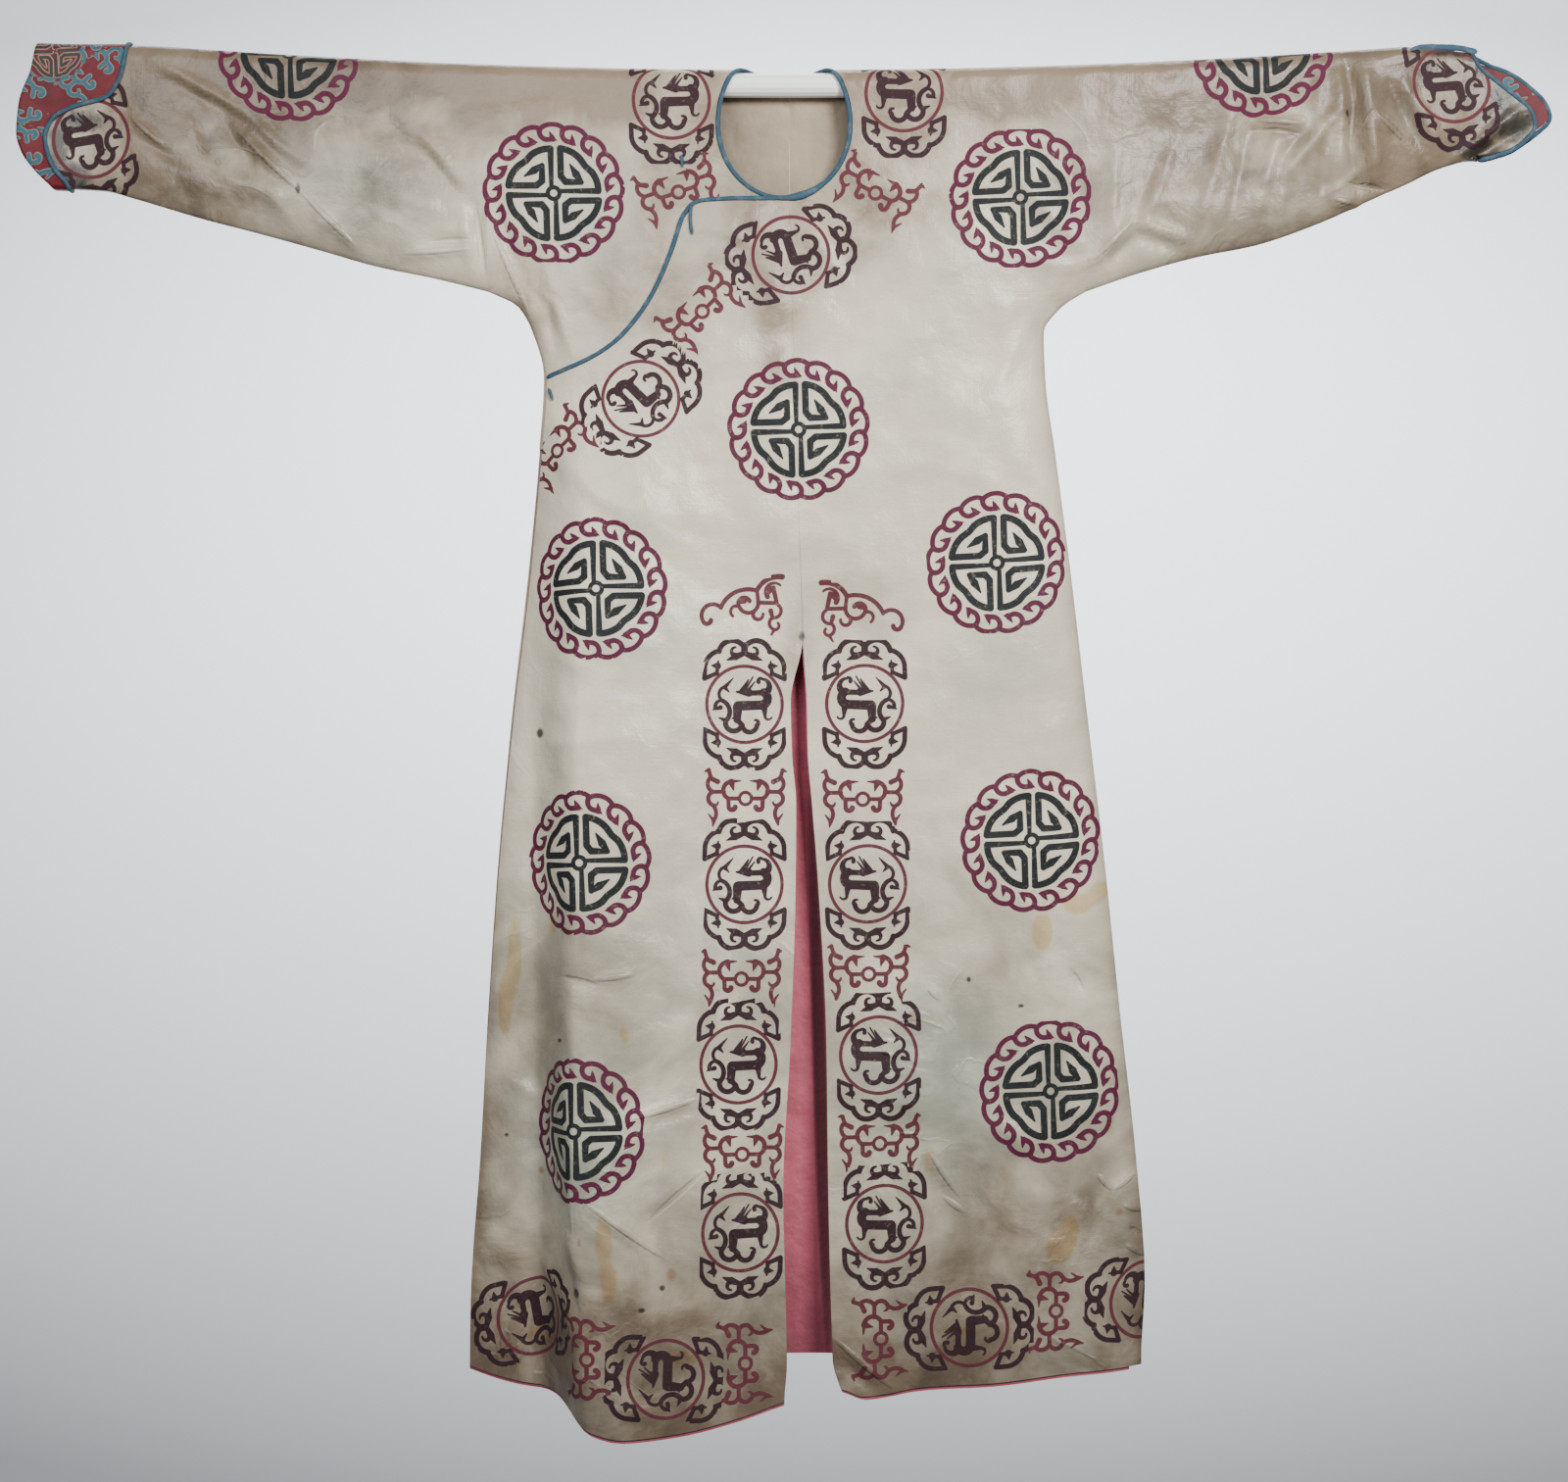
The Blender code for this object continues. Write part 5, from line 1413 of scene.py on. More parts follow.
def weave_group():
    """The silk's ground: colour from tints and slow noise with painted sheen and shade, a satin's gloss, and
    threads in relief.
    """
    outputs = [("Colour", "Color"), ("Roughness", "Float"), ("Relief", "Float"), ("Worn", "Float")]
    tree, _, result = new_group("robe silk ground", [], outputs)
    web = Web(tree)
    shades = colours()
    place = web.place()
    flat = web.uv("cloth")
    tint = web.add("Attribute", attribute_name="tint", attribute_type="GEOMETRY")
    parts = web.add("SeparateColor", {0: tint.outputs["Color"]})
    tan, cool, stain = parts.outputs[0], parts.outputs[1], parts.outputs[2]
    # The alpha is the painted shade along the seams and over the top fold
    edge = tint.outputs["Alpha"]
    x, y, z = web.add("SeparateXYZ", {0: place}).outputs
    view = web.join(x, z, 1.0)
    front = web.smooth(y, -0.004, 0.002, 1.0, 0.0)
    on_sleeve = web.smooth(web.math("ABSOLUTE", x), 0.28, 0.42)
    low = web.smooth(web.times(z, -1.0), 0.70, 1.05)
    sleeves_and_low_skirts = web.math("MAXIMUM", on_sleeve, low)
    broad = web.noise(place, 4.5, 3.0, 0.55)
    cloudy = web.noise(place, 14.0, 4.0, 0.6, 0.4)
    fine = web.noise(place, 60.0, 4.0, 0.65)
    lustre = web.noise(place, 10.0, 3.0, 0.5, 1.1)
    cool_share = web.smooth(web.plus(web.times(cool, 0.55), broad), 0.48, 1.0)
    colour = web.mix(cool_share, lit(shades.silk), lit(shades.silk_cool))
    # Aged silk and painted shade: the tan patches, then the painted shade along the seams and over the top
    # fold
    age_and_shade = web.times(tan, web.smooth(cloudy, 0.30, 0.70, 0.75, 1.60))
    age_and_shade = web.times_plus(edge, 0.80, age_and_shade)
    age_and_shade = web.plus(age_and_shade, web.smooth(cloudy, 0.60, 0.85, 0.0, 0.25))
    colour = web.mix(web.times(age_and_shade, 0.9, clamp=True), colour, lit(shades.silk_tan))
    stained = web.smooth(web.times_plus(fine, 0.30, web.times_plus(cloudy, 0.25, stain)), 0.60, 0.84)
    colour = web.mix(web.times(stained, 0.62), colour, lit(shades.stain), "MULTIPLY")
    # Dark spots, with the painted shade in the cuffs, then rust spots, on the front only
    for spots, shade, share in ((DARK_SPOTS_AND_SHADE, shades.dark_spot_and_shade, 0.90), (RUST_SPOTS, shades.rust, 0.50)):
        shown = web.times(spotted(web, view, spots, fine), web.times(front, share))
        colour = web.mix(shown, colour, lit(shade))
    streaks = web.noise(web.scaled(flat, (25.0, 900.0, 1.0)), 1.0, 2.0)
    warp = web.noise(web.scaled(flat, (700.0, 18.0, 1.0)), 1.0, 2.0)
    grain_sheen_and_shade = web.times_plus(web.plus(streaks, warp), 0.10, 0.90)
    grain_sheen_and_shade = web.times(grain_sheen_and_shade, web.smooth(fine, 0.3, 0.8, 0.96, 1.03))
    # Painted sheen and shade: the lustre noise makes the colour lighter and darker in broad patches, and the
    # sleeves and lower skirts are darker, partly for age and partly as painted shade where the light falls
    # off
    deepest = web.times_plus(sleeves_and_low_skirts, -0.36, web.times_plus(on_sleeve, -0.10, 0.93))
    brightest = web.times_plus(sleeves_and_low_skirts, -0.04, web.times_plus(on_sleeve, -0.13, 1.03))
    grain_sheen_and_shade = web.times(grain_sheen_and_shade, web.smooth(lustre, 0.28, 0.70, deepest, brightest))
    # Darker towards the hem, partly painted shade
    grain_sheen_and_shade = web.times(grain_sheen_and_shade, web.smooth(z, -1.42, -1.12, 0.68, 1.0))
    grey = web.add("CombineColor", {0: grain_sheen_and_shade, 1: grain_sheen_and_shade, 2: grain_sheen_and_shade}).outputs[0]
    colour = web.mix(1.0, colour, grey, "MULTIPLY")
    web.feed(result["Colour"], colour)
    rough = web.times_plus(lustre, 0.16, 0.24)
    web.feed(result["Roughness"], web.times_plus(tan, 0.08, rough))
    ridge = web.math("ABSOLUTE", web.less(lustre, 0.5))
    pressed = web.times(web.smooth(ridge, 0.0, 0.035, 1.0, 0.0), web.smooth(broad, 0.46, 0.64))
    pressed = web.times(pressed, web.times_plus(sleeves_and_low_skirts, 0.0004, 0.0002))
    lumps = web.times(cloudy, web.times_plus(sleeves_and_low_skirts, 0.0022, 0.0020))
    billow = web.times(broad, 0.030)
    small = web.times(fine, 0.0010)
    crisp = web.less(crisp_line(web, view, 1), crisp_line(web, view, -1))
    small = web.times_plus(web.times(crisp, front), 0.0012, small)
    threads = web.times(web.plus(streaks, warp), 0.00012)
    relief = web.plus(web.plus(pressed, small), web.plus(billow, threads))
    web.feed(result["Relief"], web.plus(relief, lumps))
    web.feed(result["Worn"], web.smooth(web.noise(place, 220.0, 3.0, 0.7), 0.56, 0.72))
    return tree


def oval_gap(web, view, ovals):
    """Squared distance to the nearest oval's middle, counted in that oval's own half width and half height.
    The view's third number is 1, so a dot product gives the place along each of the oval's sides."""
    least = FAR
    for x, y, half_width, half_height, turn in ovals:
        squares = []
        for size, angle in ((half_width, turn), (half_height, turn + math.pi / 2)):
            run, rise = math.cos(angle) / size, math.sin(angle) / size
            squares.append(web.vector("DOT_PRODUCT", view, (run, rise, -run * x - rise * y)))
        along, across = squares
        gap = web.times_plus(across, across, web.times(along, along))
        least = web.math("MINIMUM", gap, least)
    return least


def crisp_line(web, view, sign):
    """1 along the sharpest front creases of one sign, each a long thin oval that fades to 0 at its rim."""
    ovals = []
    for ax, ad, bx, bd, half_width, height in FRONT_CREASES:
        if half_width <= CRISP_WIDTH and height * sign > 0:
            reach = math.hypot(bx - ax, bd - ad) / 2
            turn = math.atan2(ad - bd, bx - ax)
            size = (CRISP_REACH * reach * MM, CRISP_HALF_WIDTH * MM)
            ovals.append(((ax + bx) / 2 * MM, -(ad + bd) / 2 * MM, *size, turn))
    return web.smooth(oval_gap(web, view, ovals), 0.0, 1.0, 1.0, 0.0)


def spotted(web, view, spots, uneven):
    """1 in the middle of each small spot and 0 outside its uneven rim."""
    ovals = [(x, -drop, wide, high, 0.0) for x, drop, wide, high in np.array(spots) * MM]
    gap = web.times_plus(uneven, 2.4, oval_gap(web, view, ovals))
    return web.smooth(gap, 1.3, 2.9, 1.0, 0.0)


def new_material(name):
    """An empty material with a Principled shader, and the web to build its colour with."""
    made = bpy.data.materials.new(name)
    made.use_nodes = True
    shader = made.node_tree.nodes["Principled BSDF"]
    return made, shader, Web(made.node_tree)


def relief_to(web, shader, height):
    """Gives a shader its relief, as heights in metres."""
    bump = web.add("Bump", {"Height": height, "Distance": 1.0, "Strength": 1.0})
    web.feed(shader.inputs["Normal"], bump.outputs[0])


def silk_material(name, layers):
    """Silk with woven layers over its ground. A layer is a function from the web to (share, colour)."""
    made, shader, web = new_material(name)
    ground = web.group(bpy.data.node_groups["robe silk ground"])
    colour, rough, relief = ground["Colour"], ground["Roughness"], ground["Relief"]
    point = web.uv("motif")
    for share, shade in layers(web, point):
        worn = web.times(share, web.times_plus(ground["Worn"], -0.16, 1.0))
        mottled = web.mix(web.noise(web.uv("cloth"), 300.0, 2.0), shade, lit(shade, 0.78))
        colour = web.mix(worn, colour, mottled)
        rough = web.plus(rough, web.times(share, 0.40), clamp=True)
        relief = web.times_plus(share, 0.00018, relief)
    web.feed(shader.inputs["Base Color"], colour)
    web.feed(shader.inputs["Roughness"], rough)
    shader.inputs["Specular IOR Level"].default_value = 0.4
    shader.inputs["Sheen Weight"].default_value = 0.06
    shader.inputs["Sheen Roughness"].default_value = 0.4
    relief_to(web, shader, relief)
    return made


def no_layers(web, point):
    """Plain cloth, with nothing woven in."""
    return []


def roundel_layers(web, point):
    """A ring of running hooks round a key fret with a small centre."""
    unit = web.vector("SCALE", point, scale=1 / ROUNDEL_RADIUS)
    hooks = drawn(web, round_the_ring(web, unit), HOOK_STROKES)
    fret = drawn(web, quarter_turned(web, unit), FRET_STROKES)
    fret = web.math("MINIMUM", fret, ring_gap(web, unit, 0.085, 0.030))
    shades = colours()
    edge = WEAVE_EDGE / ROUNDEL_RADIUS
    return [(woven(web, hooks, edge), lit(shades.ring)), (woven(web, fret, edge), lit(shades.fret))]


def medallion_layers(web, point):
    """A dragon in a thin circle, with a cloud head above and below."""
    circle = ring_gap(web, point, MEDALLION_RADIUS, MEDALLION_LINE)
    clouds = drawn(web, folded(web, point, up=True), CLOUD_STROKES)
    dragon = drawn(web, point, DRAGON_STROKES)
    shades = colours()
    dark = woven(web, web.math("MINIMUM", clouds, dragon))
    return [(woven(web, circle), lit(shades.pale_plum)), (dark, lit(shades.plum))]


def scroll_layers(web, point):
    """Tendrils round a small ring."""
    gap = drawn(web, folded(web, point), SCROLL_STROKES)
    gap = web.math("MINIMUM", gap, ring_gap(web, point, SCROLL_RING_RADIUS, SCROLL_RING_LINE))
    return [(woven(web, gap), lit(colours().pale_plum))]


def arch_layers(web, point):
    """Half of a cloud arch, drawn from its inner corner."""
    return [(woven(web, drawn(web, point, ARCH_STROKES)), lit(colours().pale_plum))]


def silk_kinds():
    """The silk's materials by motif kind, made once."""
    layers = {
        "silk": no_layers,
        "roundel": roundel_layers,
        "medallion": medallion_layers,
        "scroll": scroll_layers,
        "arch": arch_layers,
    }
    return {kind: shared("Robe " + kind, silk_material, work) for kind, work in layers.items()}


def shared(name, make, *values):
    """The material of that name, made the first time that it is asked for."""
    return bpy.data.materials.get(name) or make(name, *values)


def satin_material(name, layers):
    """Red satin with teal weaving: fine diagonal ribs, a soft gloss and darker worn places."""
    made, shader, web = new_material(name)
    shades = colours()
    place = web.place()
    flat = web.uv("cloth")
    cloudy = web.noise(place, 22.0, 4.0, 0.6)
    colour = web.mix(web.smooth(cloudy, 0.3, 0.75), lit(shades.satin), lit(shades.satin, 0.55))
    x, y = web.split(flat)
    ribs = web.math("SINE", web.times(web.plus(x, y), 2 * math.pi / SATIN_RIB))
    relief = web.times_plus(ribs, 0.00005, web.times(cloudy, 0.0020))
    for share, shade in layers(web, web.uv("motif")):
        mottled = web.mix(web.noise(flat, 260.0, 2.0), shade, lit(shade, 0.6))
        colour = web.mix(web.times(share, 0.92), colour, mottled)
        relief = web.times_plus(share, 0.0002, relief)
    web.feed(shader.inputs["Base Color"], colour)
    web.feed(shader.inputs["Roughness"], web.smooth(cloudy, 0.2, 0.8, 0.42, 0.58))
    relief_to(web, shader, relief)
    return made


def satin_roundel_layers(web, point):
    """A dark fret in a grey-teal ring, each with a paler edge."""
    ring = ring_gap(web, point, FACING_RING_RADIUS, FACING_RING_LINE)
    unit = web.vector("SCALE", point, scale=1 / FACING_FRET_SCALE)
    fret = drawn(web, quarter_turned(web, unit), FRET_STROKES)
    fret = web.times(fret, FACING_FRET_SCALE)
    shades = colours()
    pale = tuple(0.5 * a + 0.5 * b for a, b in zip(shades.pale_plum, shades.tan))
    greyed = tuple(0.7 * a + 0.3 * b for a, b in zip(shades.teal, pale))
    return [
        (woven(web, ring), (*greyed, 1)),
        (woven(web, web.less(fret, 0.0008)), (*pale, 1)),
        (woven(web, web.plus(fret, 0.0003)), lit(shades.fret)),
    ]


def satin_scroll_layers(web, point):
    """Teal tendrils with a paler edge."""
    gap = drawn(web, folded(web, web.vector("SCALE", point, scale=SATIN_SCROLL_SHRINK)), SCROLL_STROKES)
    shades = colours()
    pale = tuple(0.55 * a + 0.45 * b for a, b in zip(shades.teal, shades.tan))
    return [
        (woven(web, web.less(gap, 0.0009)), (*pale, 1)),
        (woven(web, gap), lit(shades.teal)),
    ]


def satin_kinds():
    """The satin's materials by motif kind, made once."""
    layers = {"satin": no_layers, "satin_roundel": satin_roundel_layers, "satin_scroll": satin_scroll_layers}
    return {kind: shared("Robe " + kind, satin_material, work) for kind, work in layers.items()}


def lining_material(name, shade, thread):
    """Plain cotton or silk lining: crossed threads, small crumples and uneven colour, with the painted shadow
    beside the slit and the painted shade of the tan patches.
    """
    made, shader, web = new_material(name)
    place = web.place()
    flat = web.uv("cloth")
    cloudy = web.noise(place, 18.0, 4.0, 0.6)
    blotch = web.noise(place, 70.0, 3.0, 0.6)
    x, y = web.split(flat)
    warp = web.math("SINE", web.times(x, 2 * math.pi / thread))
    weft = web.math("SINE", web.times(y, 2 * math.pi / thread))
    cross = web.times(warp, weft)
    colour = web.mix(web.smooth(cloudy, 0.30, 0.80), lit(shade), lit(shade, 0.70))
    colour = web.mix(web.smooth(blotch, 0.55, 0.85, 0.0, 0.5), colour, lit(shade, 1.25))
    tint = web.add("Attribute", attribute_name="tint", attribute_type="GEOMETRY")
    age_and_shade = web.add("SeparateColor", {0: tint.outputs["Color"]}).outputs[0]
    x, _, z = web.add("SeparateXYZ", {0: place}).outputs
    # Painted shadow beside the slit
    shaded = web.smooth(oval_gap(web, web.join(x, z, 1.0), SLIT_SHADE), 0.3, 1.8, 1.0, 0.0)
    age_and_shade = web.math("MAXIMUM", web.times(age_and_shade, 0.8), shaded)
    colour = web.mix(age_and_shade, colour, lit(shade, 0.22))
    web.feed(shader.inputs["Base Color"], colour)
    web.feed(shader.inputs["Roughness"], web.smooth(blotch, 0.2, 0.8, 0.60, 0.78))
    relief = web.times_plus(cross, 0.00006, web.times(blotch, 0.0012))
    relief_to(web, shader, web.times_plus(cloudy, 0.0060, relief))
    return made


def binding_material(name):
    """Blue cord-covered edge: threads wound aslant, with painted shade between them, paler where it is
    rubbed.
    """
    made, shader, web = new_material(name)
    shade = colours().binding
    place = web.place()
    flat = web.uv("cloth")
    x, y = web.split(flat)
    slant = web.math("SINE", web.times(web.times_plus(y, 1.2, x), 2 * math.pi / BINDING_THREAD))
    rubbed = web.smooth(web.noise(place, 90.0, 3.0, 0.6), 0.45, 0.75)
    faded = (*[0.6 * c + 0.16 for c in shade], 1)
    colour = web.mix(web.times(rubbed, 0.6), lit(shade), faded)
    # Painted shade in the grooves between the wound threads
    colour = web.mix(web.smooth(slant, -1.0, 0.2, 0.45, 0.0), colour, lit(shade, 0.45))
    web.feed(shader.inputs["Base Color"], colour)
    web.feed(shader.inputs["Roughness"], web.smooth(rubbed, 0.0, 1.0, 0.62, 0.75))
    relief_to(web, shader, web.times(slant, 0.00012))
    return made


def rod_material(name):
    """White plastic pipe: slightly uneven gloss and faint handling marks."""
    made, shader, web = new_material(name)
    shade = colours().rod
    place = web.place()
    marks = web.noise(web.scaled(place, (6.0, 60.0, 60.0)), 1.0, 3.0)
    colour = web.mix(web.smooth(marks, 0.5, 0.8, 0.0, 0.35), lit(shade), lit(shade, 0.86))
    web.feed(shader.inputs["Base Color"], colour)
    web.feed(shader.inputs["Roughness"], web.smooth(marks, 0.3, 0.7, 0.30, 0.42))
    relief_to(web, shader, web.times(web.noise(place, 30.0, 2.0), 0.0004))
    return made


def make_groups():
    """Node groups that the materials share, made once."""
    for name, make in (("robe line", line_group), ("robe arc", arc_group), ("robe silk ground", weave_group)):
        if name not in bpy.data.node_groups:
            make()


def body_cuts():
    """Both body pieces as cuts, and the front and back grids that the linings are taken from."""
    cell = sizes().silk_cell
    columns = np.linspace(0, 1, round(BODY_WIDTH / cell) + 1)
    front_levels = body_levels(FRONT, cell, SKIRT_END)
    back_levels = body_levels(BACK, cell, SKIRT_END)
    under = body_levels(FRONT, cell, UNDERLAP_END)
    left_front = body_rows(front_levels, 1, FRONT, columns)
    left_back = body_rows(back_levels, 1, BACK, columns)
    right_front = body_rows(under, -1, FRONT, columns, to_hem=False)
    right_back = body_rows(back_levels, -1, BACK, columns)
    return (left_front, left_back, front_levels), (right_front, right_back, under), back_levels


def side_rows(front_levels, back_levels, columns):
    """Point numbers down the front and back side edges from the armhole, as far as both go."""
    front_count = int(np.sum(front_levels >= ARMHOLE_DROP - 1e-9))
    back_count = int(np.sum(back_levels >= ARMHOLE_DROP - 1e-9))
    shared_rows = min(front_count, back_count)
    last = columns - 1
    fold = len(front_levels) - 1
    front_rows = fold - (len(front_levels) - front_count) - np.arange(shared_rows)
    back_rows = fold + (len(back_levels) - back_count) + np.arange(shared_rows)
    return front_rows * columns + last, back_rows * columns + last


def body_cut(front, back, front_levels, back_levels, side):
    """A body piece as a cut, folded over the rod and sewn down its side."""
    grid = over_the_rod(front, back)
    fold = len(front) - 1
    start = grid[:, :1, 0]
    sewn = side_rows(front_levels, back_levels, grid.shape[1])
    return flat_piece(grid, start, side, fold, sewn)


def build_body():
    """Both body lengths, front and back in one."""
    left, right, back_levels = body_cuts()
    for name, side, (front, back, front_levels) in (("body_left", 1, left), ("body_right", -1, right)):
        cut = body_cut(front, back, front_levels, back_levels, side)
        sew_silk(name, cut, creased(cut.points))


def build_overlap():
    """The closing panel, measured across from the centre seam and down from the fold."""
    grid = overlap_grid(sizes().silk_cell)
    across = grid[:, :1, 0] - measured(grid, 1, (0, 1))
    along = measured(grid, 0, (1, 2)) - grid[:1, :, 2] + QUARTER_TURN
    cut = Cut(grid, across, along)
    sew_silk("front_overlap", cut, creased(grid), ("body_right", "body_left"))


def build_linings():
    """The tan yoke seen in the neck, and the pink linings of the back and of the two fronts."""
    cell = sizes().lining_cell
    wall = sizes().lining_wall
    shades = colours()
    tan = {"tan": shared("Robe tan lining", lining_material, tuple(shades.tan), TAN_THREAD)}
    pink = {"pink": shared("Robe pink lining", lining_material, tuple(shades.pink), PINK_THREAD)}
    pink_slot = (pink, "lining_pink", wall)
    count = round(BODY_WIDTH / cell) + 1
    inset = np.linspace(0, 1 - SIDE_INSET / BODY_WIDTH, count)
    vent = np.linspace(0, 1 - VENT_INSET / BODY_WIDTH, count)
    fine = np.linspace(0, 1, round(BODY_WIDTH / YOKE_CELL) + 1)
    for name, side in (("lining_yoke_left", 1), ("lining_yoke_right", -1)):
        over = body_rows(np.linspace(-math.pi / 2, 0, 7), side, FRONT, fine, to_hem=False)
        down = body_levels(BACK, YOKE_CELL, YOKE_END)
        whole_down = body_rows(down, side, BACK, fine, to_hem=False)
        strip = over_the_rod(over, whole_down)[:, :-1]
        cut = flat_piece(strip, strip[:, :1, 0], side, len(over) - 1)
        hung = creased(strip, LINING_INSET)
        sew_cloth(name, cut, hung, tan, "lining_tan", wall)
    back_levels = body_levels(BACK, cell, SKIRT_END)
    rows = back_levels > BACK_LINING_TOP
    right = body_rows(back_levels, -1, BACK, vent)
    left = body_rows(back_levels, 1, BACK, inset)
    wide = np.concatenate([right[:, ::-1], left[:, 1:]], axis=1)
    lining = creased(wide, SKIRT_LINING_INSET)[rows]
    cut = flat_piece(wide[rows], wide[rows][:, :1, 0], 1, 0)
    sew_cloth("lining_back", cut, lining, *pink_slot, ("body_left", "body_right"))
    front_levels = body_levels(FRONT, cell, SKIRT_END)
    rows = front_levels > VENT_DROPS[0] + VENT_INSET
    front = body_rows(front_levels, 1, FRONT, inset)
    lining = creased(front, SKIRT_LINING_INSET)[rows]
    lining = pull_edge(pull_edge(lining, 0, -1, HEM_PEEK), 1, 0, EDGE_PEEK)
    cut = flat_piece(front[rows], front[rows][:, :1, 0], 1, 0)
    sew_cloth("lining_front_left", cut, lining, *pink_slot, ("body_left",))
    grid = overlap_grid(cell)
    first = round(OVERLAP_LINING_START * (len(grid) - 1))
    lining = creased(grid, SKIRT_LINING_INSET)[first:]
    lining = pull_edge(pull_edge(lining, 0, -1, HEM_PEEK), 1, -1, EDGE_PEEK)
    part = grid[first:]
    cut = Cut(part, part[:, :1, 0] - measured(part, 1, (0, 1)), measured(part, 0, (1, 2)))
    sew_cloth("lining_front_right", cut, lining, *pink_slot, ("front_overlap",))


def ring_levels(steps):
    """Rows round a sleeve: up the front from the lower seam, over the fold, down the back."""
    down = np.concatenate([np.linspace(-math.pi / 2, 0, 8), np.linspace(0, ARMHOLE_DROP, steps)[1:]])
    faces = np.concatenate([np.full(len(down), FRONT), np.full(len(down) - 1, BACK)])
    return np.concatenate([down[::-1], down[1:]]), faces


def height_fraction(levels):
    """How far down the sleeve a row is, from 0 at the fold to 1 at the lower seam."""
    height = ARMHOLE_DROP + WRAP_RADIUS
    round_the_rod = WRAP_RADIUS * (1 + np.sin(np.minimum(levels, 0)))
    return np.where(levels > 0, levels + WRAP_RADIUS, round_the_rod) / height


def ring_normals(grid):
    """Mitred directions out of a closed ring of rows: a push along them moves every wall by its length."""
    along = np.gradient(grid, axis=1)
    walls = []
    for step in (grid - np.roll(grid, 1, axis=0), np.roll(grid, -1, axis=0) - grid):
        out = np.cross(step, along)
        walls.append(out / np.linalg.norm(out, axis=-1, keepdims=True))
    shared_part = np.sum(walls[0] * walls[1], axis=-1, keepdims=True)
    mitre = (walls[0] + walls[1]) / (1 + shared_part)
    return mitre * np.sign(np.sum(mitre[..., 1] * grid[..., 1]))


def sleeve_grid(starts, ends, columns, steps, push=0.0):
    """A tube of sleeve: x runs straight between a start and an end for each row of the ring."""
    levels, faces = ring_levels(steps)
    x = starts[:, None] + (ends - starts)[:, None] * columns
    grid = hang_sleeve(x, np.repeat(levels[:, None], len(columns), axis=1), faces[:, None])
    return grid + ring_normals(grid) * push


def sleeve_cut(grid, direction):
    """Flat coordinates of a tube: across from x, along from the fold on top. Its long edges are sewn."""
    columns = grid.shape[1]
    fold = grid.shape[0] // 2
    sewn = (np.arange(columns), (grid.shape[0] - 1) * columns + np.arange(columns))
    return flat_piece(grid, grid[:, :1, 0], direction, fold, sewn)


def ring_creased(grid):
    """A tube moved out along its normals by the creases."""
    return grid + ring_normals(grid) * crease_offset(grid)[..., None]


def build_sleeves():
    """Both sleeves: tubes that run straight from the armhole to the cuff."""
    cell = sizes().silk_cell * SLEEVE_CELL_SHARE
    steps = round(ARMHOLE_DROP / cell)
    count = len(ring_levels(steps)[0])
    for name, side, end in (("sleeve_left", 1, LEFT_CUFF_X), ("sleeve_right", -1, RIGHT_CUFF_X)):
        start = side * ARMHOLE_X
        columns = np.linspace(0, 1, round(abs(end - start) / cell) + 1)
        grid = sleeve_grid(np.full(count, start), np.full(count, end), columns, steps)
        sew_silk(name, sleeve_cut(grid, side), ring_creased(grid))


def edge_direction(grid):
    """Unit directions along the cloth, past the last column of a ring and square to it."""
    edge = grid[:, -1]
    past = np.cross(np.roll(edge, -1, axis=0) - np.roll(edge, 1, axis=0), ring_normals(grid)[:, -1])
    past /= np.linalg.norm(past, axis=-1, keepdims=True)
    return past * np.sign(np.sum(past * (edge - grid[:, -2])))


def build_right_cuff():
    """The right cuff, turned back so that its red facing covers the end of the sleeve."""
    levels, _ = ring_levels(CUFF_STEPS)
    fractions = height_fraction(levels)
    folds = follow(TURNED_CUFF, 1, fractions)
    widths = follow(TURNED_CUFF, 2, fractions)
    start = np.full(len(folds), RIGHT_CUFF_X)
    grid = sleeve_grid(start, folds, np.linspace(0, 1, RIGHT_CUFF_COLUMNS), CUFF_STEPS)
    sew_silk("cuff_right", sleeve_cut(grid, -1), ring_creased(grid))
    turn = LINING_INSET + SEAM_GAP
    out = ring_normals(grid)[:, -1]
    past = edge_direction(grid)
    two = np.array([0.0, 1.0])
    layers = [sleeve_grid(folds + tuck, folds, two, CUFF_STEPS, -turn)[:, 0] for tuck in FACING_TUCKS]
    for angle in np.radians(FACING_FOLD_ANGLES):
        layers.append(grid[:, -1] + (past * math.cos(angle) + out * math.sin(angle)) * turn)
    for share in np.linspace(TURNED_START, 1.0, TURNED_COLUMNS):
        layers.append(sleeve_grid(folds + share * widths, folds, two, CUFF_STEPS, turn)[:, 0])
    facing = np.stack(layers, axis=1)
    cut = sleeve_cut(facing, 1)
    cut.across = facing[..., 0]
    sew_satin("cuff_right_facing", cut, facing, "cuff_right")
    flap = sleeve_grid(folds, folds + widths, two, CUFF_STEPS, SILK / 2 + BINDING_CLEAR)
    path = flap[:, -1] + edge_direction(flap) * BINDING_CLEAR
    build_binding("cuff_right_binding", path, ring_normals(flap)[:, -1], closed=True)


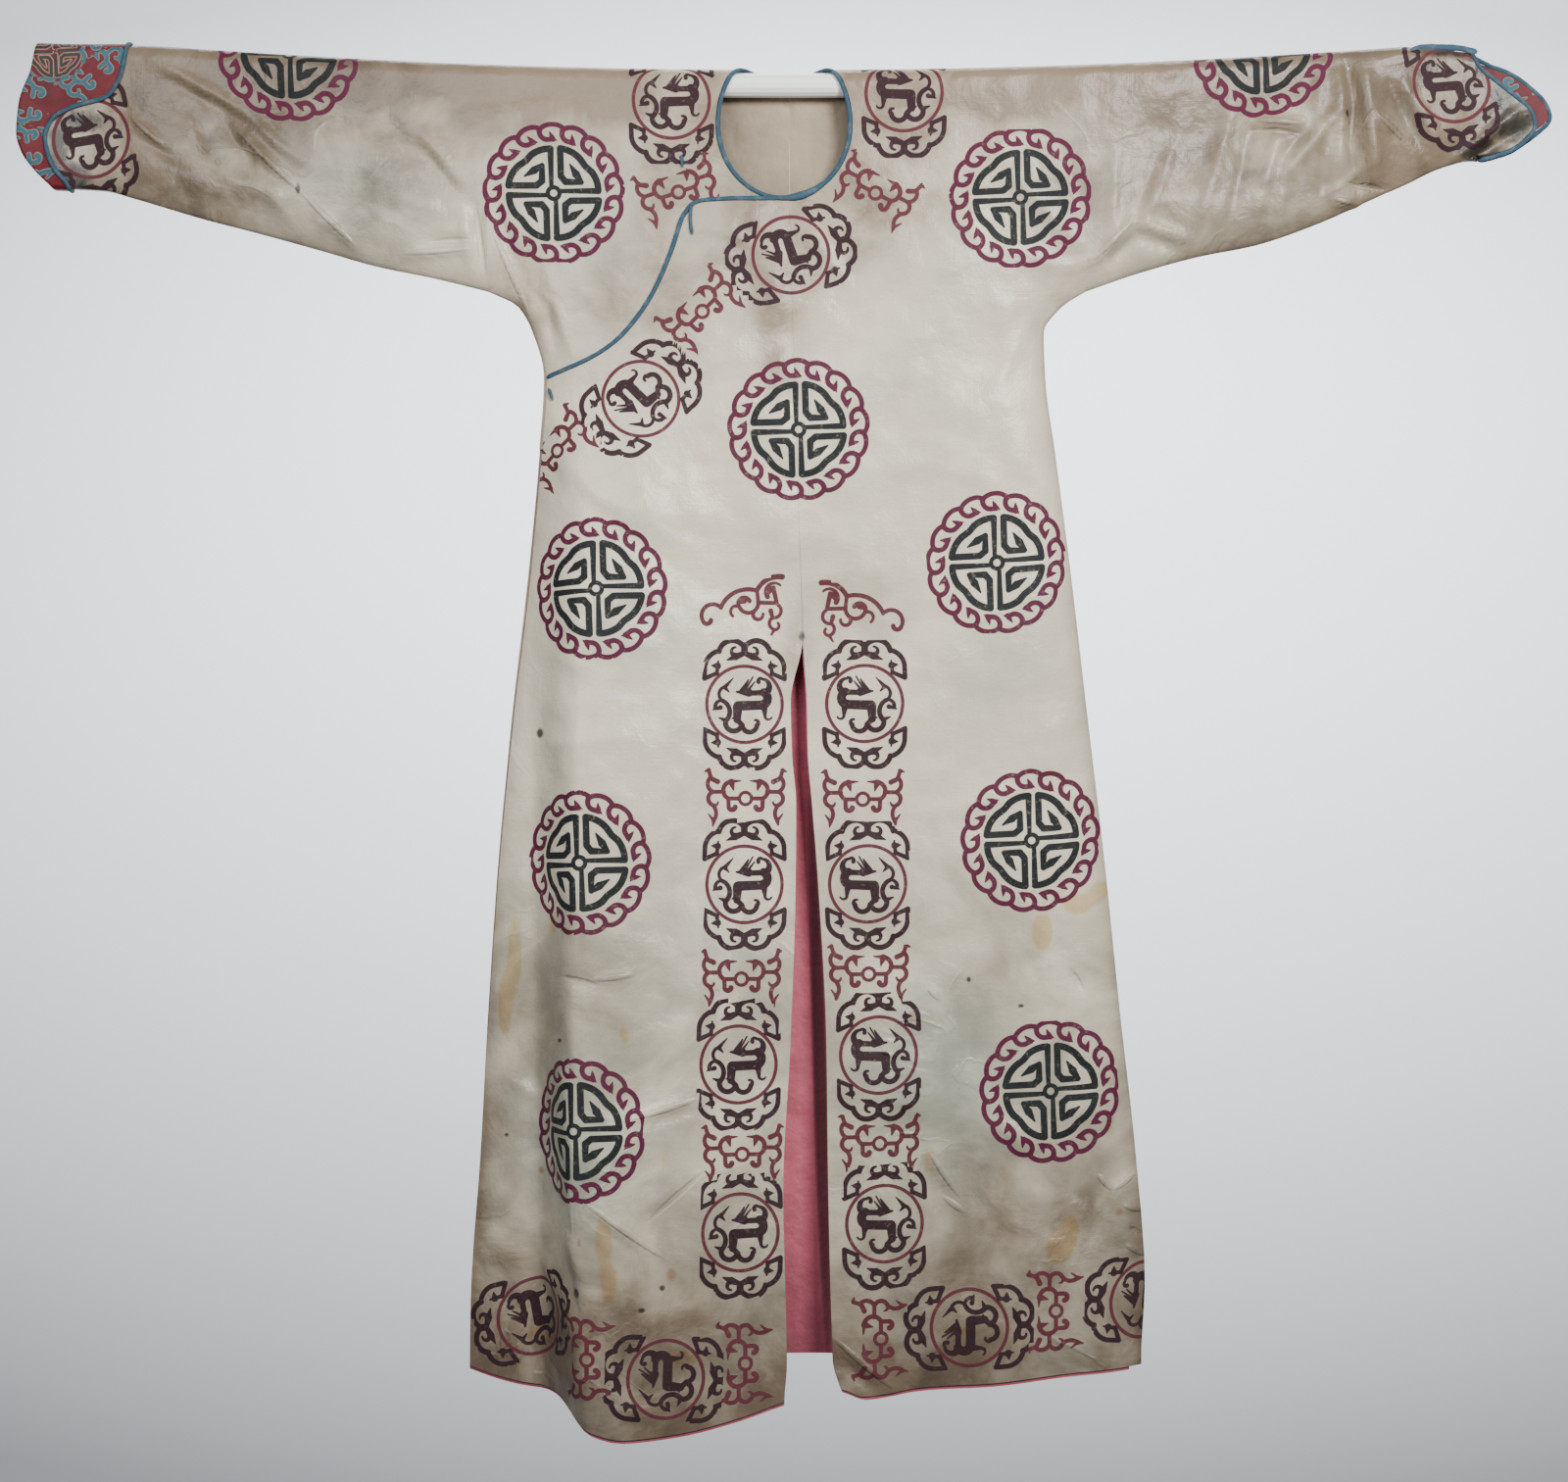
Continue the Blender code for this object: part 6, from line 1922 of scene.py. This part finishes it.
def build_left_cuff():
    """The left cuff, pointed and turned so that the facing inside its back half shows."""
    levels, faces = ring_levels(CUFF_STEPS)
    fractions = height_fraction(levels)
    ends = np.where(faces == FRONT, follow(OPEN_CUFF, 1, fractions), follow(OPEN_CUFF, 2, fractions))
    columns = np.linspace(0, 1, LEFT_CUFF_COLUMNS)
    grid = sleeve_grid(np.full(len(ends), LEFT_CUFF_X), ends, columns, CUFF_STEPS)
    sew_silk("cuff_left", sleeve_cut(grid, 1), ring_creased(grid))
    columns = np.linspace(0, 1, LEFT_FACING_COLUMNS)
    facing = sleeve_grid(np.full(len(ends), LEFT_FACING_X), ends, columns, CUFF_STEPS)
    inner = facing + ring_normals(facing) * (crease_offset(facing) - LINING_INSET)[..., None]
    part = slice(len(ends) // 2 + LEFT_FACING_ROWS[0], LEFT_FACING_ROWS[1])
    inside = Cut(facing[part], facing[part][..., 0], -measured(facing[part], 0, (1, 2)))
    sew_satin("cuff_left_facing", inside, inner[part], "cuff_left")
    path = grid[:, -1] + edge_direction(grid) * BINDING_CLEAR
    build_binding("cuff_left_binding", path, ring_normals(grid)[:, -1], closed=True)
    tuck = along_path([(row[0], row[2]) for row in CUFF_TUCK], np.linspace(0, 1, 30))
    path = np.stack([tuck[:, 0], np.interp(tuck[:, 0], *np.array(CUFF_TUCK).T[:2]), tuck[:, 1]], axis=1)
    out = np.tile([0.0, -1.0, 0.0], (len(path), 1))
    build_binding("cuff_left_tuck", path, out, half=(0.0034, 0.0016), node="cuff_left_binding")


def swept(path, out, half_width, half_depth, closed, sides=12):
    """A strip with an oval section carried along a path: half_width beside the path, half_depth along out."""
    if closed:
        way = np.roll(path, -1, axis=0) - np.roll(path, 1, axis=0)
    else:
        way = np.gradient(path, axis=0)
    way /= np.linalg.norm(way, axis=1, keepdims=True)
    beside = np.cross(way, out)
    beside /= np.linalg.norm(beside, axis=1, keepdims=True)
    up = np.cross(beside, way)
    angle = np.linspace(0, 2 * math.pi, sides, endpoint=False)
    wide = np.broadcast_to(np.asarray(half_width, float), (len(path),))[:, None, None]
    deep = np.broadcast_to(np.asarray(half_depth, float), (len(path),))[:, None, None]
    section = beside[:, None] * np.cos(angle)[:, None] * wide + up[:, None] * np.sin(angle)[:, None] * deep
    return path[:, None] + section


def tube_faces(rows, sides, closed):
    """Cells round a swept strip, joined into a ring along it if closed."""
    index = np.arange(rows * sides).reshape(rows, sides)
    after = np.roll(index, -1, axis=0)
    if not closed:
        index, after = index[:-1], after[:-1]
    beside = np.roll(index, -1, axis=1)
    beside_after = np.roll(after, -1, axis=1)
    return np.stack([index, beside, beside_after, after], axis=-1).reshape(-1, 4)


def evened(path, out, cell, closed):
    """The path and its directions again at even steps."""
    if closed:
        path = np.concatenate([path, path[:1]])
        out = np.concatenate([out, out[:1]])
    length = np.concatenate([[0], np.cumsum(np.linalg.norm(np.diff(path, axis=0), axis=1))])
    count = max(4, round(length[-1] / cell))
    at = np.linspace(0, length[-1], count + 1)
    points = np.stack([np.interp(at, length, path[:, k]) for k in range(3)], axis=1)
    directions = np.stack([np.interp(at, length, out[:, k]) for k in range(3)], axis=1)
    return (points[:-1], directions[:-1]) if closed else (points, directions)


def smoothed(path, times, closed):
    """Each point moved half way to the middle of its neighbours, so many times."""
    for _ in range(times):
        if closed:
            path = path * 0.5 + (np.roll(path, 1, axis=0) + np.roll(path, -1, axis=0)) * 0.25
        else:
            path[1:-1] = path[1:-1] * 0.5 + (path[2:] + path[:-2]) * 0.25
    return path


def build_binding(name, path, out, closed=False, half=(0.0023, 0.0017), widened=None, node=None):
    """A blue folded strip along an edge, slightly uneven in width, as hand sewing leaves it."""
    path, out = evened(path, out, BINDING_STEP, closed)
    path = smoothed(path, 2, closed)
    station = np.arange(len(path)) * BINDING_STEP
    uneven = 1 + 0.07 * np.sin(station * 410) * np.sin(station * 133 + 1.0) + 0.05 * np.sin(station * 61)
    if not closed:
        from_end = np.minimum(np.arange(len(path)), np.arange(len(path))[::-1])
        uneven = uneven * np.sqrt(np.clip((from_end + 0.25) / 1.5, 0.0, 1.0))
    if widened:
        uneven = uneven * widened(path)
    rings = swept(path, out, half[0] * uneven, half[1] * uneven, closed)
    rows, sides = rings.shape[:2]
    vertices = rings.reshape(-1, 3)
    faces = tube_faces(rows, sides, closed)
    centre = np.repeat(path, sides, axis=0)
    faces = turned_out(vertices, faces, vertices - centre)
    material = shared("Robe binding", binding_material)
    piece = mesh_from(name + "_cloth", vertices, faces, [material])
    ring = np.tile(np.arange(sides), rows) * BINDING_RIM_STEP
    along = np.repeat(station, sides)
    corner_map(piece.data, "cloth", np.stack([along[faces], ring[faces]], axis=-1))
    if not closed:
        close_ends(piece, rows, sides)
    finish_piece(piece, node or name)


def close_ends(piece, rows, sides):
    """Puts a face over each end of an open strip."""
    mesh = bmesh.new()
    mesh.from_mesh(piece.data)
    mesh.verts.ensure_lookup_table()
    for ring in (list(range(sides)), list(range((rows - 1) * sides, rows * sides))):
        mesh.faces.new([mesh.verts[k] for k in ring])
    bmesh.ops.recalc_face_normals(mesh, faces=mesh.faces)
    mesh.to_mesh(piece.data)
    mesh.free()


def neck_fold(path):
    """Where the neck's binding is folded over itself: a bell across, below the neck."""
    bell = np.exp(-(((path[:, 0] - NECK_FOLD_X) / NECK_FOLD_WIDTH) ** 2))
    return 1 + NECK_FOLD_SHARE * bell * (path[:, 2] < -NECK_FOLD_DROP)


def build_bindings():
    """The neck's ring and the overlap's curved edge."""
    half_turn = np.linspace(-90, 90, 120)
    turn = np.radians(np.concatenate([half_turn, half_turn[::-1][1:-1]]))
    side = np.where(np.arange(len(turn)) < len(half_turn), 1, -1)
    height = np.where(turn > 0, NECK_LOWER_HEIGHT, NECK_UPPER_HEIGHT)
    path = at_travel(NECK_X + side * NECK_HALF_WIDTH * np.cos(turn), NECK_WIDEST_DROP + height * np.sin(turn))
    out = path * np.array([0.0, 1.0, 0.0]) + (path[:, 2:] > 0) * path * np.array([0.0, 0.0, 1.0])
    out /= np.linalg.norm(out, axis=1, keepdims=True)
    path = path + out * (NECK_BINDING_OUT + crease_offset(path))[:, None]
    build_binding("neck_binding", path, out, True, (0.0025, 0.0020), neck_fold)
    edge = along_path(OVERLAP_EDGE, np.linspace(OVERLAP_BINDING_START, 1.0, 160))
    way = np.gradient(edge, axis=0)
    way /= np.linalg.norm(way, axis=1, keepdims=True)
    beside = edge + np.stack([-way[:, 1], way[:, 0]], axis=1) * BINDING_CLEAR
    path = hang(beside[:, 0], beside[:, 1], FRONT)
    path[:, 1] -= SILK / 2 + BINDING_CLEAR + crease_offset(path)
    out = np.tile([0.0, -1.0, 0.0], (len(path), 1))
    build_binding("overlap_binding", path, out, half=(0.0024, 0.0017))


def build_ties():
    """What is left of the ties and loops, lying on the cloth."""
    for name, (lift, points) in TIES.items():
        place = along_path(points, np.linspace(0, 1, 12))
        path = hang(place[:, 0], place[:, 1], FRONT)
        path[:, 1] -= lift + SILK / 2 + TIE_LIFT + 2 * SEAM_GAP + crease_offset(path)
        out = np.tile([0.0, -1.0, 0.0], (len(path), 1))
        build_binding(name, path, out, half=(0.0018, 0.0014))


def build_rod():
    """The rod keeps its own shape, and gets the look of white plastic pipe."""
    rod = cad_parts["rod"]
    material = shared("Robe rod", rod_material)
    if rod.material_slots:
        for slot in rod.material_slots:
            slot.material = material
    else:
        rod.data.materials.append(material)


def stage_mesh(name, vertices, faces, material):
    """A mesh for the studio, made like the robe's pieces."""
    piece = mesh_from(name, vertices, faces, [material])
    return piece


def wall_material(name):
    """Pale matt paint with a painted pool of light: darker by the square of the distance from its brightest
    place, faintly uneven.
    """
    made, shader, web = new_material(name)
    shade = colours().wall
    place = web.place()
    away = web.vector("DIVIDE", web.vector("SUBTRACT", place, WALL_BRIGHTEST), WALL_REACH)
    squared = web.vector("MULTIPLY", away, away)
    # Painted pool of light: the wall darkens away from its brightest place
    fall = web.vector("DOT_PRODUCT", squared, (WALL_FALL_ACROSS, 0.0, WALL_FALL_UP))
    fall = web.times_plus(web.noise(place, 0.6, 1.0), 0.03, fall)
    fall = web.math("MINIMUM", fall, 0.65)
    web.feed(shader.inputs["Base Color"], web.mix(fall, lit(shade), (0, 0, 0, 1)))
    shader.inputs["Roughness"].default_value = 0.9
    return made


def build_stage():
    """Floor and wall in one sheet with a round cove, soft lights at both sides, and the camera."""
    sweep = np.radians(np.linspace(0, 90, 24))
    floor_y = np.linspace(-6.5, WALL_Y - COVE_RADIUS, 12)
    cove_y = WALL_Y - COVE_RADIUS + COVE_RADIUS * np.sin(sweep)
    cove_z = FLOOR_Z + COVE_RADIUS - COVE_RADIUS * np.cos(sweep)
    wall_z = np.linspace(FLOOR_Z + COVE_RADIUS, 4.2, 10)
    x = np.linspace(-7.0, 7.0, 13)
    y = np.concatenate([floor_y, cove_y[1:], np.full(len(wall_z) - 1, WALL_Y)])
    z = np.concatenate([np.full(len(floor_y), FLOOR_Z), cove_z[1:], wall_z[1:]])
    grid = np.stack(np.broadcast_arrays(x, y[:, None], z[:, None]), axis=-1)
    vertices = grid.reshape(-1, 3)
    reference = np.tile([0.0, -1.0, 1.0], (len(vertices), 1))
    faces = turned_out(vertices, grid_faces(*grid.shape[:2]), reference)
    stage_mesh("backdrop", vertices, faces, shared("Studio wall", wall_material))
    studio = bpy.context.scene.robe_studio
    middle = (0.0, 0.0, -0.45)
    soft_light("Key", (1.00, -2.1, 0.55), middle, (0.7, 0.7), studio.key_power, WARM_LIGHT)
    soft_light("Fill", (-0.9, -2.3, 0.40), middle, (1.4, 1.1), studio.fill_power, COOL_LIGHT)
    soft_light("Wall wash", (0.6, 2.2, 2.8), (0.7, WALL_Y, -0.3), (5.0, 2.2), studio.wall_power, COOL_LIGHT)
    world = bpy.data.worlds.new("Studio")
    world.use_nodes = True
    background = world.node_tree.nodes["Background"]
    background.inputs["Color"].default_value = (*linear(226, 229, 234), 1)
    background.inputs["Strength"].default_value = studio.sky
    bpy.context.scene.world = world


def soft_light(name, place, target, size, power, colour):
    """A large rectangle of light that looks at its target."""
    data = bpy.data.lights.new(name, "AREA")
    data.shape = "RECTANGLE"
    data.size, data.size_y = size
    data.energy = power
    data.color = colour
    light = bpy.data.objects.new(name, data)
    light.location = place
    light.rotation_euler = (Vector(target) - Vector(place)).to_track_quat("-Z", "Y").to_euler()
    light.visible_camera = False
    bpy.context.scene.collection.objects.link(light)


def build_camera():
    """Straight on, far enough back to take in both sleeves."""
    data = bpy.data.cameras.new("Camera")
    data.sensor_fit = "HORIZONTAL"
    data.sensor_width = SENSOR_WIDTH
    data.lens = SENSOR_WIDTH * -CAMERA_PLACE[1] / PICTURE_WIDTH
    camera = bpy.data.objects.new("Camera", data)
    camera.location = CAMERA_PLACE
    camera.rotation_euler = (math.radians(90), 0, 0)
    bpy.context.scene.collection.objects.link(camera)
    bpy.context.scene.camera = camera


class RobeOperator:
    """What the robe's operators share: the work is one function, and an error in it stops the script."""

    bl_options = {"REGISTER", "UNDO"}
    work = ()

    def execute(self, context):
        make_groups()
        for step in self.work:
            step()
        return {"FINISHED"}


class ROBE_OT_body(RobeOperator, bpy.types.Operator):
    """Builds the left and right body lengths, over the shoulders"""

    bl_idname = "robe.body"
    bl_label = "Body"
    work = (build_body,)


class ROBE_OT_overlap(RobeOperator, bpy.types.Operator):
    """Builds the front panel that closes to the wearer's right"""

    bl_idname = "robe.overlap"
    bl_label = "Front overlap"
    work = (build_overlap,)


class ROBE_OT_sleeves(RobeOperator, bpy.types.Operator):
    """Builds both sleeves"""

    bl_idname = "robe.sleeves"
    bl_label = "Sleeves"
    work = (build_sleeves,)


class ROBE_OT_cuffs(RobeOperator, bpy.types.Operator):
    """Builds the horseshoe cuffs with their red facings and blue bindings"""

    bl_idname = "robe.cuffs"
    bl_label = "Cuffs"
    work = (build_right_cuff, build_left_cuff)


class ROBE_OT_linings(RobeOperator, bpy.types.Operator):
    """Builds the tan yoke lining and the pink skirt linings"""

    bl_idname = "robe.linings"
    bl_label = "Linings"
    work = (build_linings,)


class ROBE_OT_bindings(RobeOperator, bpy.types.Operator):
    """Builds the blue bindings of the neck and of the overlap's edge, and what is left of the ties"""

    bl_idname = "robe.bindings"
    bl_label = "Bindings and ties"
    work = (build_bindings, build_ties)


class ROBE_OT_rod(RobeOperator, bpy.types.Operator):
    """Gives the rod its white plastic"""

    bl_idname = "robe.rod"
    bl_label = "Rod"
    work = (build_rod,)


class ROBE_OT_stage(RobeOperator, bpy.types.Operator):
    """Builds the pale backdrop, the soft lights and the camera"""

    bl_idname = "robe.stage"
    bl_label = "Studio"
    work = (build_camera, build_stage)


OPERATORS = (
    ROBE_OT_stage,
    ROBE_OT_body,
    ROBE_OT_overlap,
    ROBE_OT_sleeves,
    ROBE_OT_cuffs,
    ROBE_OT_linings,
    ROBE_OT_bindings,
    ROBE_OT_rod,
)


class ROBE_PT_pieces(bpy.types.Panel):
    """Lists the robe's settings and pieces in the sidebar"""

    bl_label = "Silk robe"
    bl_space_type = "VIEW_3D"
    bl_region_type = "UI"
    bl_category = "Robe"

    def draw(self, context):
        layout = self.layout
        for settings in (context.scene.robe_sizes, context.scene.robe_colours, context.scene.robe_studio):
            for name in settings.__annotations__:
                layout.prop(settings, name)
        for operator in OPERATORS:
            layout.operator(operator.bl_idname)


SETTINGS = {"robe_sizes": RobeSizes, "robe_colours": RobeColours, "robe_studio": RobeStudio}
CLASSES = (*SETTINGS.values(), *OPERATORS, ROBE_PT_pieces)


def register():
    """Makes the settings, the operators and the panel known."""
    for made in CLASSES:
        bpy.utils.register_class(made)
    for name, group in SETTINGS.items():
        setattr(bpy.types.Scene, name, bpy.props.PointerProperty(type=group))


def unregister():
    """Takes them away again."""
    for name in SETTINGS:
        delattr(bpy.types.Scene, name)
    for made in reversed(CLASSES):
        bpy.utils.unregister_class(made)


def main():
    """Builds every piece in order."""
    register()
    for operator in OPERATORS:
        family, name = operator.bl_idname.split(".")
        getattr(getattr(bpy.ops, family), name)()


if __name__ == "__main__":
    main()
